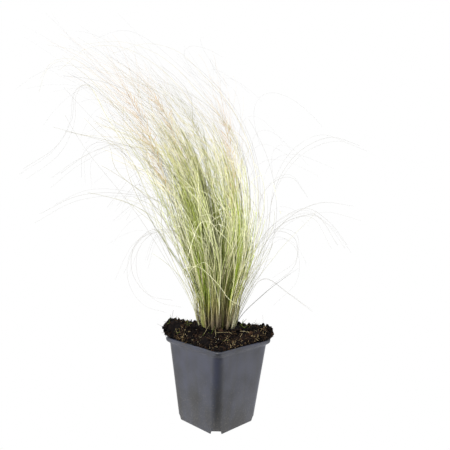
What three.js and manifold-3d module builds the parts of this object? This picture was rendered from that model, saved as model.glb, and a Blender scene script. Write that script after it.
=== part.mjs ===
// A Mexican feather grass in a square nursery pot: the pot, the soil that it holds, a fan of
// thread-fine leaf tufts that leans to one side, and the flower stems that stand among them.
//
// Millimetres, +Z up. The origin is the middle of the pot's underside, on the ground it stands on.
// The pot's sides face X and Y, and the clump leans towards its -X -Y corner.
import * as THREE from "three";
import Module from "manifold-3d";

const wasm = await Module();
wasm.setup();

// ---- Driving dimensions -------------------------------------------------------------------

const pot = {
  height: 94,
  rimWidth: 90, // over the lip
  neckWidth: 84.7, // under the lip
  baseWidth: 65.8,
  wall: 1.2,
  floor: 1.6,
  corner: 9.6, // radius of the body's upright corners
  footCorner: 9.1,
  lipCorner: 6.4,
  lipFace: 4, // height of the lip's outer band
  lipSlope: 2, // height of the slope from the band in to the body
  lipRounding: 0.9,
  lipDraft: 0.4, // how much narrower the band is at its bottom
  notchWidth: 12.2, // drain notch across each bottom corner
  notchTopWidth: 9.4,
  notchHeight: 4.8,
  notchDepth: 9,
  drainHole: 8, // diameter of the floor's round drain holes
  drainOffset: 15, // of its middle from the pot's middle, along X and along Y
};

const soil = {
  gap: 0.35, // clear of the pot all round
  overRim: 0.4, // what leans out over the lip starts this much above it
  frontRise: 1.5, // height over the rim along the front
  backRise: 9,
  leftHeap: 18, // crumbly heaps on the two side corners
  rightHeap: 12.5,
  heapOverhang: 7.8, // how far a heap leans out past the pot's inner wall, over the lip
  crownRise: 14, // height over the rim at the grass
  roughness: 1.4,
  footCorner: 22, // radius of its corners at the bottom, which keeps it behind the drain notches
  footTop: 5.2, // from here they grow into the pot's corners
  footBlend: 4,
};

const clump = {
  rootDepth: 14, // depth of the tufts' feet below the soil surface
  places: 42, // leaf tufts and flower stems together
  run: 7, // in each run of places, these hold a flower stem and the others a leaf tuft
  flowersInRun: [2, 5],
  seed: 400,
  cell: 0.118, // what each may fill, as a share of the clump's radius
};

// The clump seen side-on, as [side, height] from the middle of the pot's underside: its left
// edge, middle and right edge at each level. Low down it fans out, and higher up it bends over.
const levels = [
  { along: 0, left: [-18, 94], middle: [0, 94], right: [17, 94] },
  { along: 14, left: [-24, 108], middle: [0, 108], right: [22, 108] },
  { along: 40, left: [-37, 132], middle: [0, 134], right: [34, 132] },
  { along: 100, left: [-62, 187], middle: [0, 194], right: [56, 189] },
  { along: 160, left: [-84, 241], middle: [-7, 252], right: [65, 248] },
  { along: 220, left: [-109, 293], middle: [-23, 308], right: [58, 307] },
  { along: 275, left: [-137, 340], middle: [-50, 356], right: [36, 357] },
  { along: 325, left: [-168, 381], middle: [-88, 392], right: [4, 394] },
  { along: 365, left: [-194, 407], middle: [-122, 413], right: [-34, 416] },
  { along: 400, left: [-215, 424], middle: [-153, 427], right: [-70, 432] },
];
const depthRadius = { atFeet: 17, growth: 60, over: 140 };

const leaf = {
  perTuft: 8,
  rootDepth: 5, // how far below the sheath's top the blades begin
  opening: 160, // stretch over which a tuft opens to its full width
  shortest: 170,
  longest: 345,
  rightSideLoss: 65, // leaves on the upright side are shorter
  radius: 0.47, // of the circle round the three-sided blade
  tipRadius: 0.42,
};

const sheath = { sides: 5, footRadius: 1.8, soilRadius: 2.5, topRadius: 2, height: 26 };

const flower = {
  stalkRadius: 0.6,
  end: 300, // where the stalk gives way to its last awns
  endUnevenness: 30,
  rightSideLoss: 50,
  awns: 13,
  awnLength: 72,
  awnRadius: 0.42,
  awnedLength: 125, // stretch of the stalk that carries awns
};

const touchGap = 0.35;
const strayStepsPerPoint = 3;
const shortestSpan = 12; // between two bends of a blade

// Single blades that arch out of the clump. Each grows in the tuft at a place, follows the clump
// up to "leave", and then runs through the points of its route, each [side, depth, height].
const strayLeaves = [
  { place: 25, leave: 160, route: [[-112, -24, 258], [-158, -34, 253], [-192, -46, 233]] },
  { place: 22, leave: 160, route: [[-80, 32, 258], [-108, 33, 248], [-134, 35, 227]] },
  {
    place: 38,
    leave: 100,
    route: [[-76, -10, 219], [-97, -14, 201], [-99, -16, 170], [-78, -20, 145], [-52, -24, 141]],
  },
  { place: 38, leave: 220, route: [[-122, -6, 311], [-146, -2, 317], [-163, 4, 305], [-166, 10, 277]] },
  { place: 25, leave: 220, route: [[-110, -27, 312], [-147, -33, 299], [-174, -38, 277]] },
  { place: 38, leave: 325, route: [[-170, -6, 376], [-173, -6, 345], [-188, -6, 314], [-228, -6, 284]] },
  { place: 34, leave: 14, route: [[50, -8, 147], [84, -14, 176]] },
  { place: 34, leave: 40, route: [[52, -12, 166], [76, -20, 152], [102, -28, 134]] },
  { place: 34, leave: 100, route: [[79, -12, 238], [112, -17, 254], [147, -22, 251]] },
  { place: 34, leave: 160, route: [[68, -3, 286], [94, 6, 318], [130, 14, 334], [165, 20, 326]] },
  { place: 21, leave: 100, route: [[72, 9, 236], [103, 12, 248], [128, 10, 233], [150, 8, 206]] },
  { place: 29, leave: 100, route: [[72, 24, 220], [90, 26, 212], [92, 25, 180], [62, 24, 152]] },
  { place: 39, leave: 100, route: [[66, -52, 230], [94, -76, 238], [112, -94, 210]] },
  { place: 31, leave: 160, route: [[32, -82, 274], [42, -114, 272], [50, -140, 238]] },
  { place: 36, leave: 100, route: [[-8, -76, 226], [-20, -106, 228], [-30, -132, 196]] },
  { place: 28, leave: 160, route: [[-44, -78, 276], [-76, -106, 276], [-102, -126, 240]] },
  { place: 41, leave: 100, route: [[-52, -64, 220], [-76, -84, 214], [-92, -98, 178]] },
  { place: 22, leave: 100, route: [[-62, 46, 214], [-84, 62, 206], [-96, 72, 176]] },
  { place: 35, leave: 160, route: [[-80, 66, 272], [-116, 92, 276], [-146, 110, 248]] },
  { place: 27, leave: 100, route: [[-36, 68, 224], [-62, 98, 230], [-86, 118, 202]] },
  { place: 32, leave: 160, route: [[-4, 90, 284], [-14, 120, 292], [-22, 148, 266]] },
  { place: 24, leave: 100, route: [[38, 66, 226], [52, 96, 232], [62, 120, 204]] },
  { place: 29, leave: 160, route: [[66, 52, 282], [94, 78, 290], [120, 96, 264]] },
];

// Long awns that trail from the tips of some flower stems, written in the same way.
const strayAwns = [
  { place: 30, leave: 325, route: [[-174, 12, 406], [-194, 8, 413], [-207, 4, 401], [-214, 0, 374]] },
  { place: 33, leave: 325, route: [[-160, -46, 397], [-178, -52, 393], [-191, -57, 372]] },
  { place: 9, leave: 325, route: [[-152, 16, 414], [-184, 20, 431], [-216, 24, 437]] },
  { place: 40, leave: 325, route: [[-126, 74, 408], [-154, 82, 413], [-180, 90, 395]] },
  { place: 23, leave: 325, route: [[-102, -62, 404], [-134, -72, 401], [-162, -82, 374]] },
  { place: 37, leave: 325, route: [[-58, 44, 418], [-90, 38, 438], [-130, 32, 447], [-172, 26, 440]] },
  { place: 26, leave: 325, route: [[-50, -30, 413], [-82, -38, 419], [-120, -46, 404]] },
];

// ---- Small tools --------------------------------------------------------------------------

// A repeatable run of numbers from 0 to 1.
function seededRandom(seed) {
  let state = seed >>> 0;
  return () => {
    state = (state + 0x6d2b79f5) >>> 0;
    let t = Math.imul(state ^ (state >>> 15), 1 | state);
    t = (t + Math.imul(t ^ (t >>> 7), 61 | t)) ^ t;
    return ((t ^ (t >>> 14)) >>> 0) / 4294967296;
  };
}

const smooth = (t) => t * t * (3 - 2 * t);
const clamp01 = (t) => Math.min(1, Math.max(0, t));
const goldenAngle = Math.PI * (3 - Math.sqrt(5));

// An indexed geometry with its corners shared, as a solid to join and cut.
function solidOf(geometry) {
  const mesh = new wasm.Mesh({
    numProp: 3,
    vertProperties: new Float32Array(geometry.getAttribute("position").array),
    triVerts: new Uint32Array(geometry.index.array),
  });
  return new wasm.Manifold(mesh);
}

function geometryOf(solid) {
  const mesh = solid.getMesh();
  const positions = new Float32Array(mesh.vertProperties);
  return new THREE.BufferGeometry()
    .setAttribute("position", new THREE.BufferAttribute(positions, 3))
    .setIndex(new THREE.BufferAttribute(new Uint32Array(mesh.triVerts), 1));
}

function indexedGeometry(points, triangles) {
  const positions = new Float32Array(points.flatMap((p) => [p.x, p.y, p.z]));
  return new THREE.BufferGeometry()
    .setAttribute("position", new THREE.BufferAttribute(positions, 3))
    .setIndex(triangles);
}

// Skins a stack of rings with equal numbers of points, each ring anticlockwise from above,
// and closes the first and the last one with a flat face.
function loft(rings) {
  const count = rings[0].length;
  const triangles = [];
  for (let r = 0; r + 1 < rings.length; r++) {
    for (let i = 0; i < count; i++) {
      const a = r * count + i;
      const b = r * count + ((i + 1) % count);
      triangles.push(a, b, b + count, a, b + count, a + count);
    }
  }
  const last = (rings.length - 1) * count;
  for (let i = 1; i + 1 < count; i++) {
    triangles.push(0, i + 1, i, last, last + i, last + i + 1);
  }
  return indexedGeometry(rings.flat(), triangles);
}

// A square with round corners, its straight sides split so that they can take relief.
function squareRing(halfWidth, radius, z, cornerSteps, sideSteps) {
  const points = [];
  const middle = halfWidth - radius;
  for (let corner = 0; corner < 4; corner++) {
    const start = (corner * Math.PI) / 2;
    const centre = new THREE.Vector2(middle, middle).rotateAround(new THREE.Vector2(), start);
    for (let i = 0; i <= cornerSteps; i++) {
      const angle = start + ((Math.PI / 2) * i) / cornerSteps;
      const x = centre.x + radius * Math.cos(angle);
      const y = centre.y + radius * Math.sin(angle);
      points.push(new THREE.Vector3(x, y, z));
    }
    const from = points.at(-1);
    const flat = new THREE.Vector2(-middle, halfWidth).rotateAround(new THREE.Vector2(), start);
    const to = new THREE.Vector3(flat.x, flat.y, z);
    for (let i = 1; i < sideSteps; i++) {
      points.push(from.clone().lerp(to, i / sideSteps));
    }
  }
  return points;
}

// A three-sided blade along a list of points, with a closed root and a sharp tip.
function blade(points, rootRadius, tipRadius) {
  const sides = 3;
  const vertices = [];
  const triangles = [];
  const along = new THREE.Vector3();
  const across = new THREE.Vector3(0, 1, 0);
  const other = new THREE.Vector3();
  const last = points.length - 1;
  for (let i = 0; i < last; i++) {
    along.subVectors(points[i + 1], points[Math.max(0, i - 1)]).normalize();
    across.addScaledVector(along, -across.dot(along)).normalize();
    other.crossVectors(along, across);
    const radius = THREE.MathUtils.lerp(rootRadius, tipRadius, i / last);
    for (let k = 0; k < sides; k++) {
      const turn = (2 * Math.PI * k) / sides;
      vertices.push(
        points[i]
          .clone()
          .addScaledVector(across, radius * Math.cos(turn))
          .addScaledVector(other, radius * Math.sin(turn)),
      );
    }
  }
  vertices.push(points[last]);
  triangles.push(0, 2, 1);
  for (let i = 0; i + 1 < last; i++) {
    for (let k = 0; k < sides; k++) {
      const a = i * sides + k;
      const b = i * sides + ((k + 1) % sides);
      triangles.push(a, b, b + sides, a, b + sides, a + sides);
    }
  }
  const ring = (last - 1) * sides;
  for (let k = 0; k < sides; k++) {
    triangles.push(ring + k, ring + ((k + 1) % sides), last * sides);
  }
  return indexedGeometry(vertices, triangles);
}

// ---- The pot ------------------------------------------------------------------------------

const wallLean = (pot.neckWidth - pot.baseWidth) / 2 / (pot.height - pot.lipFace - pot.lipSlope);
const outerHalf = (z) => pot.baseWidth / 2 + wallLean * z;
const innerHalf = (z) => outerHalf(z) - pot.wall;

function potSolid() {
  const cornerSteps = 5;
  const neckZ = pot.height - pot.lipFace - pot.lipSlope;
  const lipHalf = pot.rimWidth / 2;
  const innerCorner = pot.corner - pot.wall;
  const ring = (half, radius, z) => squareRing(half, radius, z, cornerSteps, 1);
  let body = solidOf(
    loft([
      ring(pot.baseWidth / 2, pot.footCorner, 0),
      ring(pot.neckWidth / 2, pot.corner, neckZ),
      ring(lipHalf - pot.lipDraft, pot.lipCorner, neckZ + pot.lipSlope),
      ring(lipHalf, pot.lipCorner, pot.height - pot.lipRounding),
      ring(lipHalf - pot.lipRounding, pot.lipCorner - pot.lipRounding, pot.height),
      ring(innerHalf(pot.height), innerCorner, pot.height),
      ring(innerHalf(pot.floor), pot.footCorner - pot.wall, pot.floor),
    ]),
  );

  // Each bottom corner has a drain notch through wall and floor.
  const overrun = 4;
  const notch = new THREE.Shape([
    new THREE.Vector2(-pot.notchWidth / 2, -overrun),
    new THREE.Vector2(pot.notchWidth / 2, -overrun),
    new THREE.Vector2(pot.notchWidth / 2, 0),
    new THREE.Vector2(pot.notchTopWidth / 2, pot.notchHeight),
    new THREE.Vector2(-pot.notchTopWidth / 2, pot.notchHeight),
    new THREE.Vector2(-pot.notchWidth / 2, 0),
  ]);
  const cornerReach = (pot.baseWidth / 2) * Math.SQRT2 - pot.corner * (Math.SQRT2 - 1);
  const cutter = new THREE.ExtrudeGeometry(notch, {
    depth: pot.notchDepth + overrun,
    bevelEnabled: false,
  })
    .rotateX(Math.PI / 2) // the notch's outline now stands upright and its depth runs to -Y
    .translate(0, cornerReach + overrun, 0);
  const hole = new THREE.CylinderGeometry(pot.drainHole / 2, pot.drainHole / 2, pot.floor * 4, 12)
    .rotateX(Math.PI / 2)
    .translate(0, pot.drainOffset * Math.SQRT2, 0);
  for (let corner = 0; corner < 4; corner++) {
    const turn = Math.PI / 4 + (corner * Math.PI) / 2;
    body = body.subtract(solidOf(welded(cutter.clone().rotateZ(turn))));
    body = body.subtract(solidOf(welded(hole.clone().rotateZ(turn))));
  }
  return body;
}

// A three.js geometry with only its positions left and its corners shared.
function welded(geometry) {
  const source = geometry.index ? geometry.toNonIndexed() : geometry;
  const position = source.getAttribute("position");
  const points = [];
  const found = new Map();
  const triangles = [];
  for (let i = 0; i < position.count; i++) {
    const point = new THREE.Vector3().fromBufferAttribute(position, i);
    const key = point.toArray().map((v) => Math.round(v * 1e4)).join();
    if (!found.has(key)) {
      found.set(key, points.length);
      points.push(point);
    }
    triangles.push(found.get(key));
  }
  return indexedGeometry(points, triangles);
}

// ---- The clump's flow ---------------------------------------------------------------------
// Every blade follows one flow, so that neighbours spread and lean together and never cross.
// Its frame is turned by 45 degrees: local -X is the way that the clump leans, local Y its depth.

const crownZ = pot.height + soil.crownRise;
const feetZ = levels[0].middle[1];
const soilLevel = clump.rootDepth;
const sheathTop = soilLevel + sheath.height;

const depthAt = (along) =>
  depthRadius.atFeet + depthRadius.growth * Math.tanh(along / depthRadius.over);

// The point on one level for a place in the unit disc, whose -1 to 1 runs from edge to edge.
function onLevel(level, place) {
  const edge = place.x < 0 ? level.left : level.right;
  const [x, z] = level.middle.map((middle, i) => middle + (edge[i] - middle) * Math.abs(place.x));
  return new THREE.Vector3(x, place.y * depthAt(level.along), z);
}

// The point at a distance along the flow. It runs straight from level to level, so that all
// blades turn on the same planes.
function flowPoint(along, place) {
  const above = Math.max(1, levels.findIndex((level) => level.along >= along));
  const [low, high] = [levels[above - 1], levels[above]];
  const share = (along - low.along) / (high.along - low.along);
  return onLevel(low, place).lerp(onLevel(high, place), share);
}

// Places of the tufts in the clump, as seeds stand in a sunflower head.
const places = Array.from({ length: clump.places }, (_, i) => {
  const radius = Math.sqrt((i + 0.5) / clump.places) * (1 - clump.cell * 0.6);
  return new THREE.Vector2(radius, 0).rotateAround(new THREE.Vector2(), i * goldenAngle);
});
const isFlower = (index) => clump.flowersInRun.includes(index % clump.run);

// Points of a blade that follows the flow from its sheath. It grows out of the sheath at
// "root" and spreads to "spot" in the tuft's own cell of the clump.
function flowPath(place, root, spot, end) {
  const start = sheathTop - leaf.rootDepth;
  const bends = levels
    .map(({ along }) => along)
    .filter((along) => along > start + shortestSpan && along < end - shortestSpan);
  return [start, ...bends, end].map((along) => {
    const opened = smooth(clamp01((along - sheathTop) / leaf.opening));
    return flowPoint(along, place.clone().add(root.clone().lerp(spot, opened)));
  });
}

// A blade that follows the flow and then leaves it along its own route.
function strayPath(place, root, { leave, route }) {
  const inSheath = [leave - leaf.rootDepth, leave].map((along) => flowPoint(along, place));
  const followed = leave < sheathTop ? inSheath : flowPath(place, root, root, leave);
  const ahead = [...followed.slice(-2), ...route.map((point) => new THREE.Vector3(...point))];
  const curve = new THREE.CatmullRomCurve3(ahead, false, "centripetal");
  const points = [...followed];
  const spans = ahead.length - 1;
  for (let i = 1; i <= (spans - 1) * strayStepsPerPoint; i++) {
    points.push(curve.getPoint((1 + i / strayStepsPerPoint) / spans));
  }
  return points;
}

// ---- Leaf tufts ---------------------------------------------------------------------------

// The bundle of leaf sheaths that a tuft stands on: a slim foot, widest at the soil.
function sheathSolid(place) {
  const profile = [
    [touchGap, sheath.footRadius],
    [soilLevel, sheath.soilRadius],
    [sheathTop, sheath.topRadius],
  ];
  const rings = profile.map(([along, radius]) => {
    const centre = flowPoint(along, place);
    return Array.from({ length: sheath.sides }, (_, k) => {
      const angle = (2 * Math.PI * k) / sheath.sides;
      const x = centre.x + radius * Math.cos(angle);
      return new THREE.Vector3(x, centre.y + radius * Math.sin(angle), centre.z);
    });
  });
  return solidOf(loft(rings));
}

const grassBlade = (points) => solidOf(blade(points, leaf.radius, leaf.tipRadius));

// How far from the sheath's middle the blades grow, as a share of the clump's radius.
const rootSpread = (sheath.topRadius * 0.78) / depthAt(sheathTop);

function leafTuft(index, random) {
  const place = places[index];
  let tuft = sheathSolid(place);
  for (let k = 0; k < leaf.perTuft; k++) {
    const angle = k * goldenAngle + index;
    const rootRadius = rootSpread * Math.sqrt((k + 0.5) / leaf.perTuft);
    const root = new THREE.Vector2(rootRadius, 0).rotateAround(new THREE.Vector2(), angle);
    const turn = angle + random() - 0.5;
    const spotRadius = clump.cell * (0.25 + 0.75 * Math.sqrt(random()));
    const spot = new THREE.Vector2(spotRadius, 0).rotateAround(new THREE.Vector2(), turn);
    const length = THREE.MathUtils.lerp(leaf.shortest, leaf.longest, Math.pow(random(), 0.75));
    const end = length - leaf.rightSideLoss * clamp01(place.x);
    tuft = tuft.add(grassBlade(flowPath(place, root, spot, end)));
  }
  const outward = place.clone().setLength(rootSpread * 0.9);
  for (const stray of strayLeaves.filter((s) => s.place === index)) {
    tuft = tuft.add(grassBlade(strayPath(place, outward, stray)));
  }
  return tuft;
}

// ---- Flower stems -------------------------------------------------------------------------

// A stalk in its sheath, with long awns that leave it at low angles and sweep upwards.
function flowerStem(index, random) {
  const place = places[index];
  const centred = new THREE.Vector2();
  const unevenness = flower.endUnevenness * (random() - 0.5);
  const end = flower.end - flower.rightSideLoss * clamp01(place.x) + unevenness;
  const last = levels.at(-1).along;
  const stray = strayAwns.find((s) => s.place === index);
  const stalk = stray
    ? strayPath(place, centred, stray)
    : flowPath(place, centred, centred, Math.min(last, end + flower.awnLength));
  let stem = sheathSolid(place).add(solidOf(blade(stalk, flower.stalkRadius, flower.awnRadius)));
  for (let k = 0; k < flower.awns; k++) {
    const from = end - flower.awnedLength * (1 - (k + 0.5) / flower.awns);
    const to = Math.min(last, from + flower.awnLength * (0.75 + 0.5 * random()));
    const spotRadius = clump.cell * (0.55 + 0.4 * random());
    const spot = new THREE.Vector2(spotRadius, 0).rotateAround(new THREE.Vector2(), k * goldenAngle);
    const awn = [0, 0.4, 1].map((share) =>
      flowPoint(
        THREE.MathUtils.lerp(from, to, share),
        place.clone().addScaledVector(spot, Math.sqrt(share)),
      ),
    );
    stem = stem.add(solidOf(blade(awn, flower.awnRadius, flower.awnRadius)));
  }
  return stem;
}

// ---- Soil ---------------------------------------------------------------------------------
// Potting soil bound by the roots: it fills the pot, stands over the rim in crumbly heaps on the
// two side corners, rises to the grass, and has a pocket there that the tufts stand in.

function soilSolid() {
  const random = seededRandom(11);
  const rough = (size) => (random() - 0.5) * 2 * soil.roughness * size;
  const wallHalf = (z) => innerHalf(z) - soil.gap;
  const cornerAt = (z) => {
    const blend = THREE.MathUtils.clamp((z - soil.footTop) / soil.footBlend, 0, 1);
    return THREE.MathUtils.lerp(soil.footCorner, pot.corner - pot.wall, blend);
  };
  const ring = (z) => squareRing(wallHalf(z), cornerAt(z), z, 4, 4);
  const lowZ = pot.floor + soil.gap;
  const brim = ring(pot.height);

  // How much a rim point belongs to the corner at an angle, from 0 to 1.
  const near = (point, degrees, sharpness) => {
    const angle = Math.atan2(point.y, point.x) - THREE.MathUtils.degToRad(degrees);
    return Math.pow(Math.max(0, Math.cos(angle)), sharpness);
  };
  const edgeHeight = (point) =>
    soil.frontRise +
    soil.leftHeap * near(point, 225, 5) +
    soil.rightHeap * near(point, 45, 5) +
    soil.backRise * near(point, 135, 2);
  const heaped = (point) => Math.max(near(point, 225, 9), near(point, 45, 9));

  // A ring of the surface: how far it stands in from the edge, the share of the edge's height
  // that it has, how far it has come to the height of the crown, and how far it leans out.
  const surfaceRing = ({ inward, share, toCrown, bulge, wobble }) =>
    brim.map((point) => {
      const edge = THREE.MathUtils.lerp(edgeHeight(point) * share, soil.crownRise, toCrown);
      const overhang = bulge * soil.heapOverhang * heaped(point);
      const out = 1 - inward + overhang / Math.hypot(point.x, point.y);
      const lift = Math.max(soil.overRim, edge + rough(wobble));
      return new THREE.Vector3(point.x * out, point.y * out, pot.height + lift);
    });

  const pocketRing = (radius, z, wobble) =>
    brim.map((point) => {
      const angle = Math.atan2(point.y, point.x);
      const height = z + rough(wobble);
      return new THREE.Vector3(radius * Math.cos(angle), radius * Math.sin(angle), height);
    });
  const pocketTop = depthAt(soilLevel) + sheath.soilRadius + 2.5;
  const pocketBottom = pocketTop - 5;

  return solidOf(
    loft([
      ring(lowZ),
      ring(soil.footTop),
      ring(soil.footTop + soil.footBlend),
      ring(pot.height - soil.overRim),
      surfaceRing({ inward: 0, share: 0, toCrown: 0, bulge: 0, wobble: 0 }),
      surfaceRing({ inward: 0, share: 0.12, toCrown: 0, bulge: 0.6, wobble: 0 }),
      surfaceRing({ inward: 0, share: 0.55, toCrown: 0, bulge: 1, wobble: 0.5 }),
      surfaceRing({ inward: 0.04, share: 1, toCrown: 0, bulge: 0.55, wobble: 1 }),
      surfaceRing({ inward: 0.16, share: 1, toCrown: 0.25, bulge: 0, wobble: 1 }),
      surfaceRing({ inward: 0.3, share: 0.9, toCrown: 0.6, bulge: 0, wobble: 1 }),
      pocketRing(pocketTop, crownZ, 0.6),
      pocketRing(pocketBottom, feetZ, 0),
    ]),
  );
}

// ---- Assembly -----------------------------------------------------------------------------

const materials = {
  pot: new THREE.MeshStandardMaterial({ color: 0x565860, roughness: 0.42 }),
  soil: new THREE.MeshStandardMaterial({ color: 0x2a2019, roughness: 0.95 }),
  leaf: new THREE.MeshStandardMaterial({ color: 0xa7b06c, roughness: 0.6 }),
  flower: new THREE.MeshStandardMaterial({ color: 0xd8c79a, roughness: 0.65 }),
};

function part(name, solid, material) {
  const mesh = new THREE.Mesh(geometryOf(solid), material);
  mesh.geometry.computeVertexNormals();
  mesh.name = name;
  return mesh;
}

const grass = new THREE.Group();
grass.rotation.z = Math.PI / 4;
let leafTufts = 0;
let flowerStems = 0;
places.forEach((_, index) => {
  const random = seededRandom(clump.seed + index);
  if (isFlower(index)) {
    const name = "flower_stem_" + String(++flowerStems).padStart(2, "0");
    grass.add(part(name, flowerStem(index, random), materials.flower));
  } else {
    const name = "leaf_tuft_" + String(++leafTufts).padStart(2, "0");
    grass.add(part(name, leafTuft(index, random), materials.leaf));
  }
});

const featherGrass = new THREE.Group();
featherGrass.add(
  part("pot", potSolid(), materials.pot),
  part("soil", soilSolid(), materials.soil),
  grass,
);

export default featherGrass;
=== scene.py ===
import math

import bmesh
import bpy
import numpy as np
from mathutils import Matrix, Vector, noise


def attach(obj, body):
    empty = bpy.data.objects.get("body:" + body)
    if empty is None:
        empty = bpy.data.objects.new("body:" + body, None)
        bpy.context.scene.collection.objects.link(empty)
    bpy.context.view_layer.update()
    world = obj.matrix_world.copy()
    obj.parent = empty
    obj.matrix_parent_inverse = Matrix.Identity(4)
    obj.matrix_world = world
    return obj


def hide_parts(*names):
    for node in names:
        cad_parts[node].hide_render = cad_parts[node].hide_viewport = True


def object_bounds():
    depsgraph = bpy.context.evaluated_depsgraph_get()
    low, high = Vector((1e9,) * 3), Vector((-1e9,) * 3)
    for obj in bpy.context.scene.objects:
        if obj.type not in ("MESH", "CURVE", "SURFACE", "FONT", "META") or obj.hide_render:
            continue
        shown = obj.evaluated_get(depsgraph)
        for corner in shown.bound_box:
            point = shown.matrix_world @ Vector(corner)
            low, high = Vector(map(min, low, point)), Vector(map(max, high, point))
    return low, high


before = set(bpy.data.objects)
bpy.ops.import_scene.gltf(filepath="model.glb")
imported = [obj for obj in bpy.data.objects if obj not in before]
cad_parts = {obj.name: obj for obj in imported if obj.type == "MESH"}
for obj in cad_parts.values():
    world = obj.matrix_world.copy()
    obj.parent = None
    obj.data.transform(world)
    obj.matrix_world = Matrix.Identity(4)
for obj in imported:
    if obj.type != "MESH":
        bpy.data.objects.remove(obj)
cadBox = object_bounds()

mm = 0.001
goldenAngle = math.pi * (3 - math.sqrt(5))


def linearColour(hexCode):
    # sRGB hex to the linear colour that a shader takes
    channels = [int(hexCode[i:i + 2], 16) / 255 for i in (1, 3, 5)]
    return [c / 12.92 if c <= 0.04045 else ((c + 0.055) / 1.055) ** 2.4 for c in channels] + [1.0]


def setNode(tree, node, inputs=None, links=None):
    # a link comes from a socket, or from a node's first output
    for name, value in (inputs or {}).items():
        node.inputs[name].default_value = value
    for name, source in (links or {}).items():
        isNode = isinstance(source, bpy.types.Node)
        tree.links.new(source.outputs[0] if isNode else source, node.inputs[name])
    return node


def addNode(tree, kind, inputs=None, links=None, **settings):
    node = tree.nodes.new(kind)
    for name, value in settings.items():
        setattr(node, name, value)
    return setNode(tree, node, inputs, links)


def fillRamp(node, stops):
    ramp = node.color_ramp
    while len(ramp.elements) < len(stops):
        ramp.elements.new(1.0)
    for element, (position, colour) in zip(ramp.elements, stops):
        element.position = position
        element.color = linearColour(colour) if isinstance(colour, str) else [colour] * 3 + [1.0]
    return node


def newMaterial(name):
    material = bpy.data.materials.new(name)
    material.use_nodes = True
    tree = material.node_tree
    return material, tree, tree.nodes["Principled BSDF"]


def newObject(name, data):
    thing = bpy.data.objects.new(name, data)
    bpy.context.scene.collection.objects.link(thing)
    return thing


def smoothStep(value, start=0.0, length=1.0):
    # rises softly from 0 to 1 over a stretch
    t = np.clip((value - start) / length, 0.0, 1.0)
    return t * t * (3 - 2 * t)


def unit(vectors):
    return vectors / np.maximum(np.linalg.norm(vectors, axis=-1, keepdims=True), 1e-12)


def polar(radius, angle):
    return np.stack([radius * np.cos(angle), radius * np.sin(angle)], axis=-1)


def throughKnots(knots, values, at):
    # a smooth curve through the values at the knots
    slopes = np.gradient(values, knots, axis=0)
    low = np.clip(np.searchsorted(knots, at, side="right") - 1, 0, len(knots) - 2)
    gap = (knots[low + 1] - knots[low])[..., None]
    t = (at - knots[low])[..., None] / gap
    return (
        (2 * t**3 - 3 * t**2 + 1) * values[low]
        + (t**3 - 2 * t**2 + t) * gap * slopes[low]
        + (3 * t**2 - 2 * t**3) * values[low + 1]
        + (t**3 - t**2) * gap * slopes[low + 1]
    )


def turned(points):
    # from side, depth and height to the frame; the clump leans towards the -X -Y corner
    half = math.sqrt(0.5)
    return points @ np.array([[half, half, 0], [-half, half, 0], [0, 0, 1]])


# meshes from arrays: a part has points, quads, triangles, values for each point, and a place for
# each face corner on the bake's map, where each strand has a row of its own

bakeMap = "OFBake"


def faceCorners(*corners):
    # the places of many faces on the map, from the u and v of each of their corners
    return np.stack([np.stack(corner, axis=-1) for corner in corners], axis=-2)


def forEachPoint(values, shape, times=1):
    spread = {name: np.broadcast_to(value, shape).reshape(-1) for name, value in values.items()}
    return {name: np.repeat(value, times) for name, value in spread.items()}


def tubes(points, radii, sides, **values):
    # closed tubes along many strands at once; points is strands x steps x 3
    count, steps, _ = points.shape
    along = unit(np.gradient(points, axis=1))
    across = np.cross(along[:, 0], [0.31, 0.87, 0.38])  # a way that no strand starts in
    frames = np.empty((count, steps, 3))
    for i in range(steps):
        across = unit(across - along[:, i] * np.sum(across * along[:, i], axis=1, keepdims=True))
        frames[:, i] = across
    other = np.cross(along, frames)
    turn = (2 * np.pi * np.arange(sides) / sides)[:, None]
    outward = frames[:, :, None] * np.cos(turn) + other[:, :, None] * np.sin(turn)
    rings = points[:, :, None] + outward * radii[:, :, None, None]
    start = (np.arange(count) * steps * sides)[:, None, None]
    ring = (np.arange(steps - 1) * sides)[None, :, None]
    side = np.arange(sides)[None, None, :]
    a, b = start + ring + side, start + ring + (side + 1) % sides
    fan = np.array([[0, i + 1, i] for i in range(1, sides - 1)])
    roots = (start + fan).reshape(-1, 3)
    tips = (start + (steps - 1) * sides + fan[:, ::-1]).reshape(-1, 3)
    # a strand fills the middle of its row, and its two small ends lie at the row's ends
    low = np.broadcast_to(np.arange(steps - 1)[None, :, None] / (steps - 1), a.shape)
    high = low + 1 / (steps - 1)
    left = np.broadcast_to(np.arange(count)[:, None, None] + 0.1 + 0.8 * side / sides, a.shape)
    right = left + 0.8 / sides
    quadMap = faceCorners((low, left), (low, right), (high, right), (high, left))
    capRow = np.repeat(np.arange(count), len(fan)) + 0.5
    rootMap = np.stack([np.zeros((len(roots), 3)), np.repeat(capRow[:, None], 3, 1)], -1)
    rootMap[:, 1, 0] = 0.002
    rootMap[:, 2, 1] += 0.02
    tipMap = rootMap * [-1, 1] + [1, 0]
    return {
        "points": rings.reshape(-1, 3),
        "quads": np.stack([a, b, b + sides, a + sides], axis=-1).reshape(-1, 4),
        "triangles": np.concatenate([roots, tips]),
        "quadMap": quadMap.reshape(-1, 4, 2),
        "triangleMap": np.concatenate([rootMap, tipMap]),
        "rows": count,
        "values": forEachPoint(values, (count, steps), sides),
    }


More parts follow.
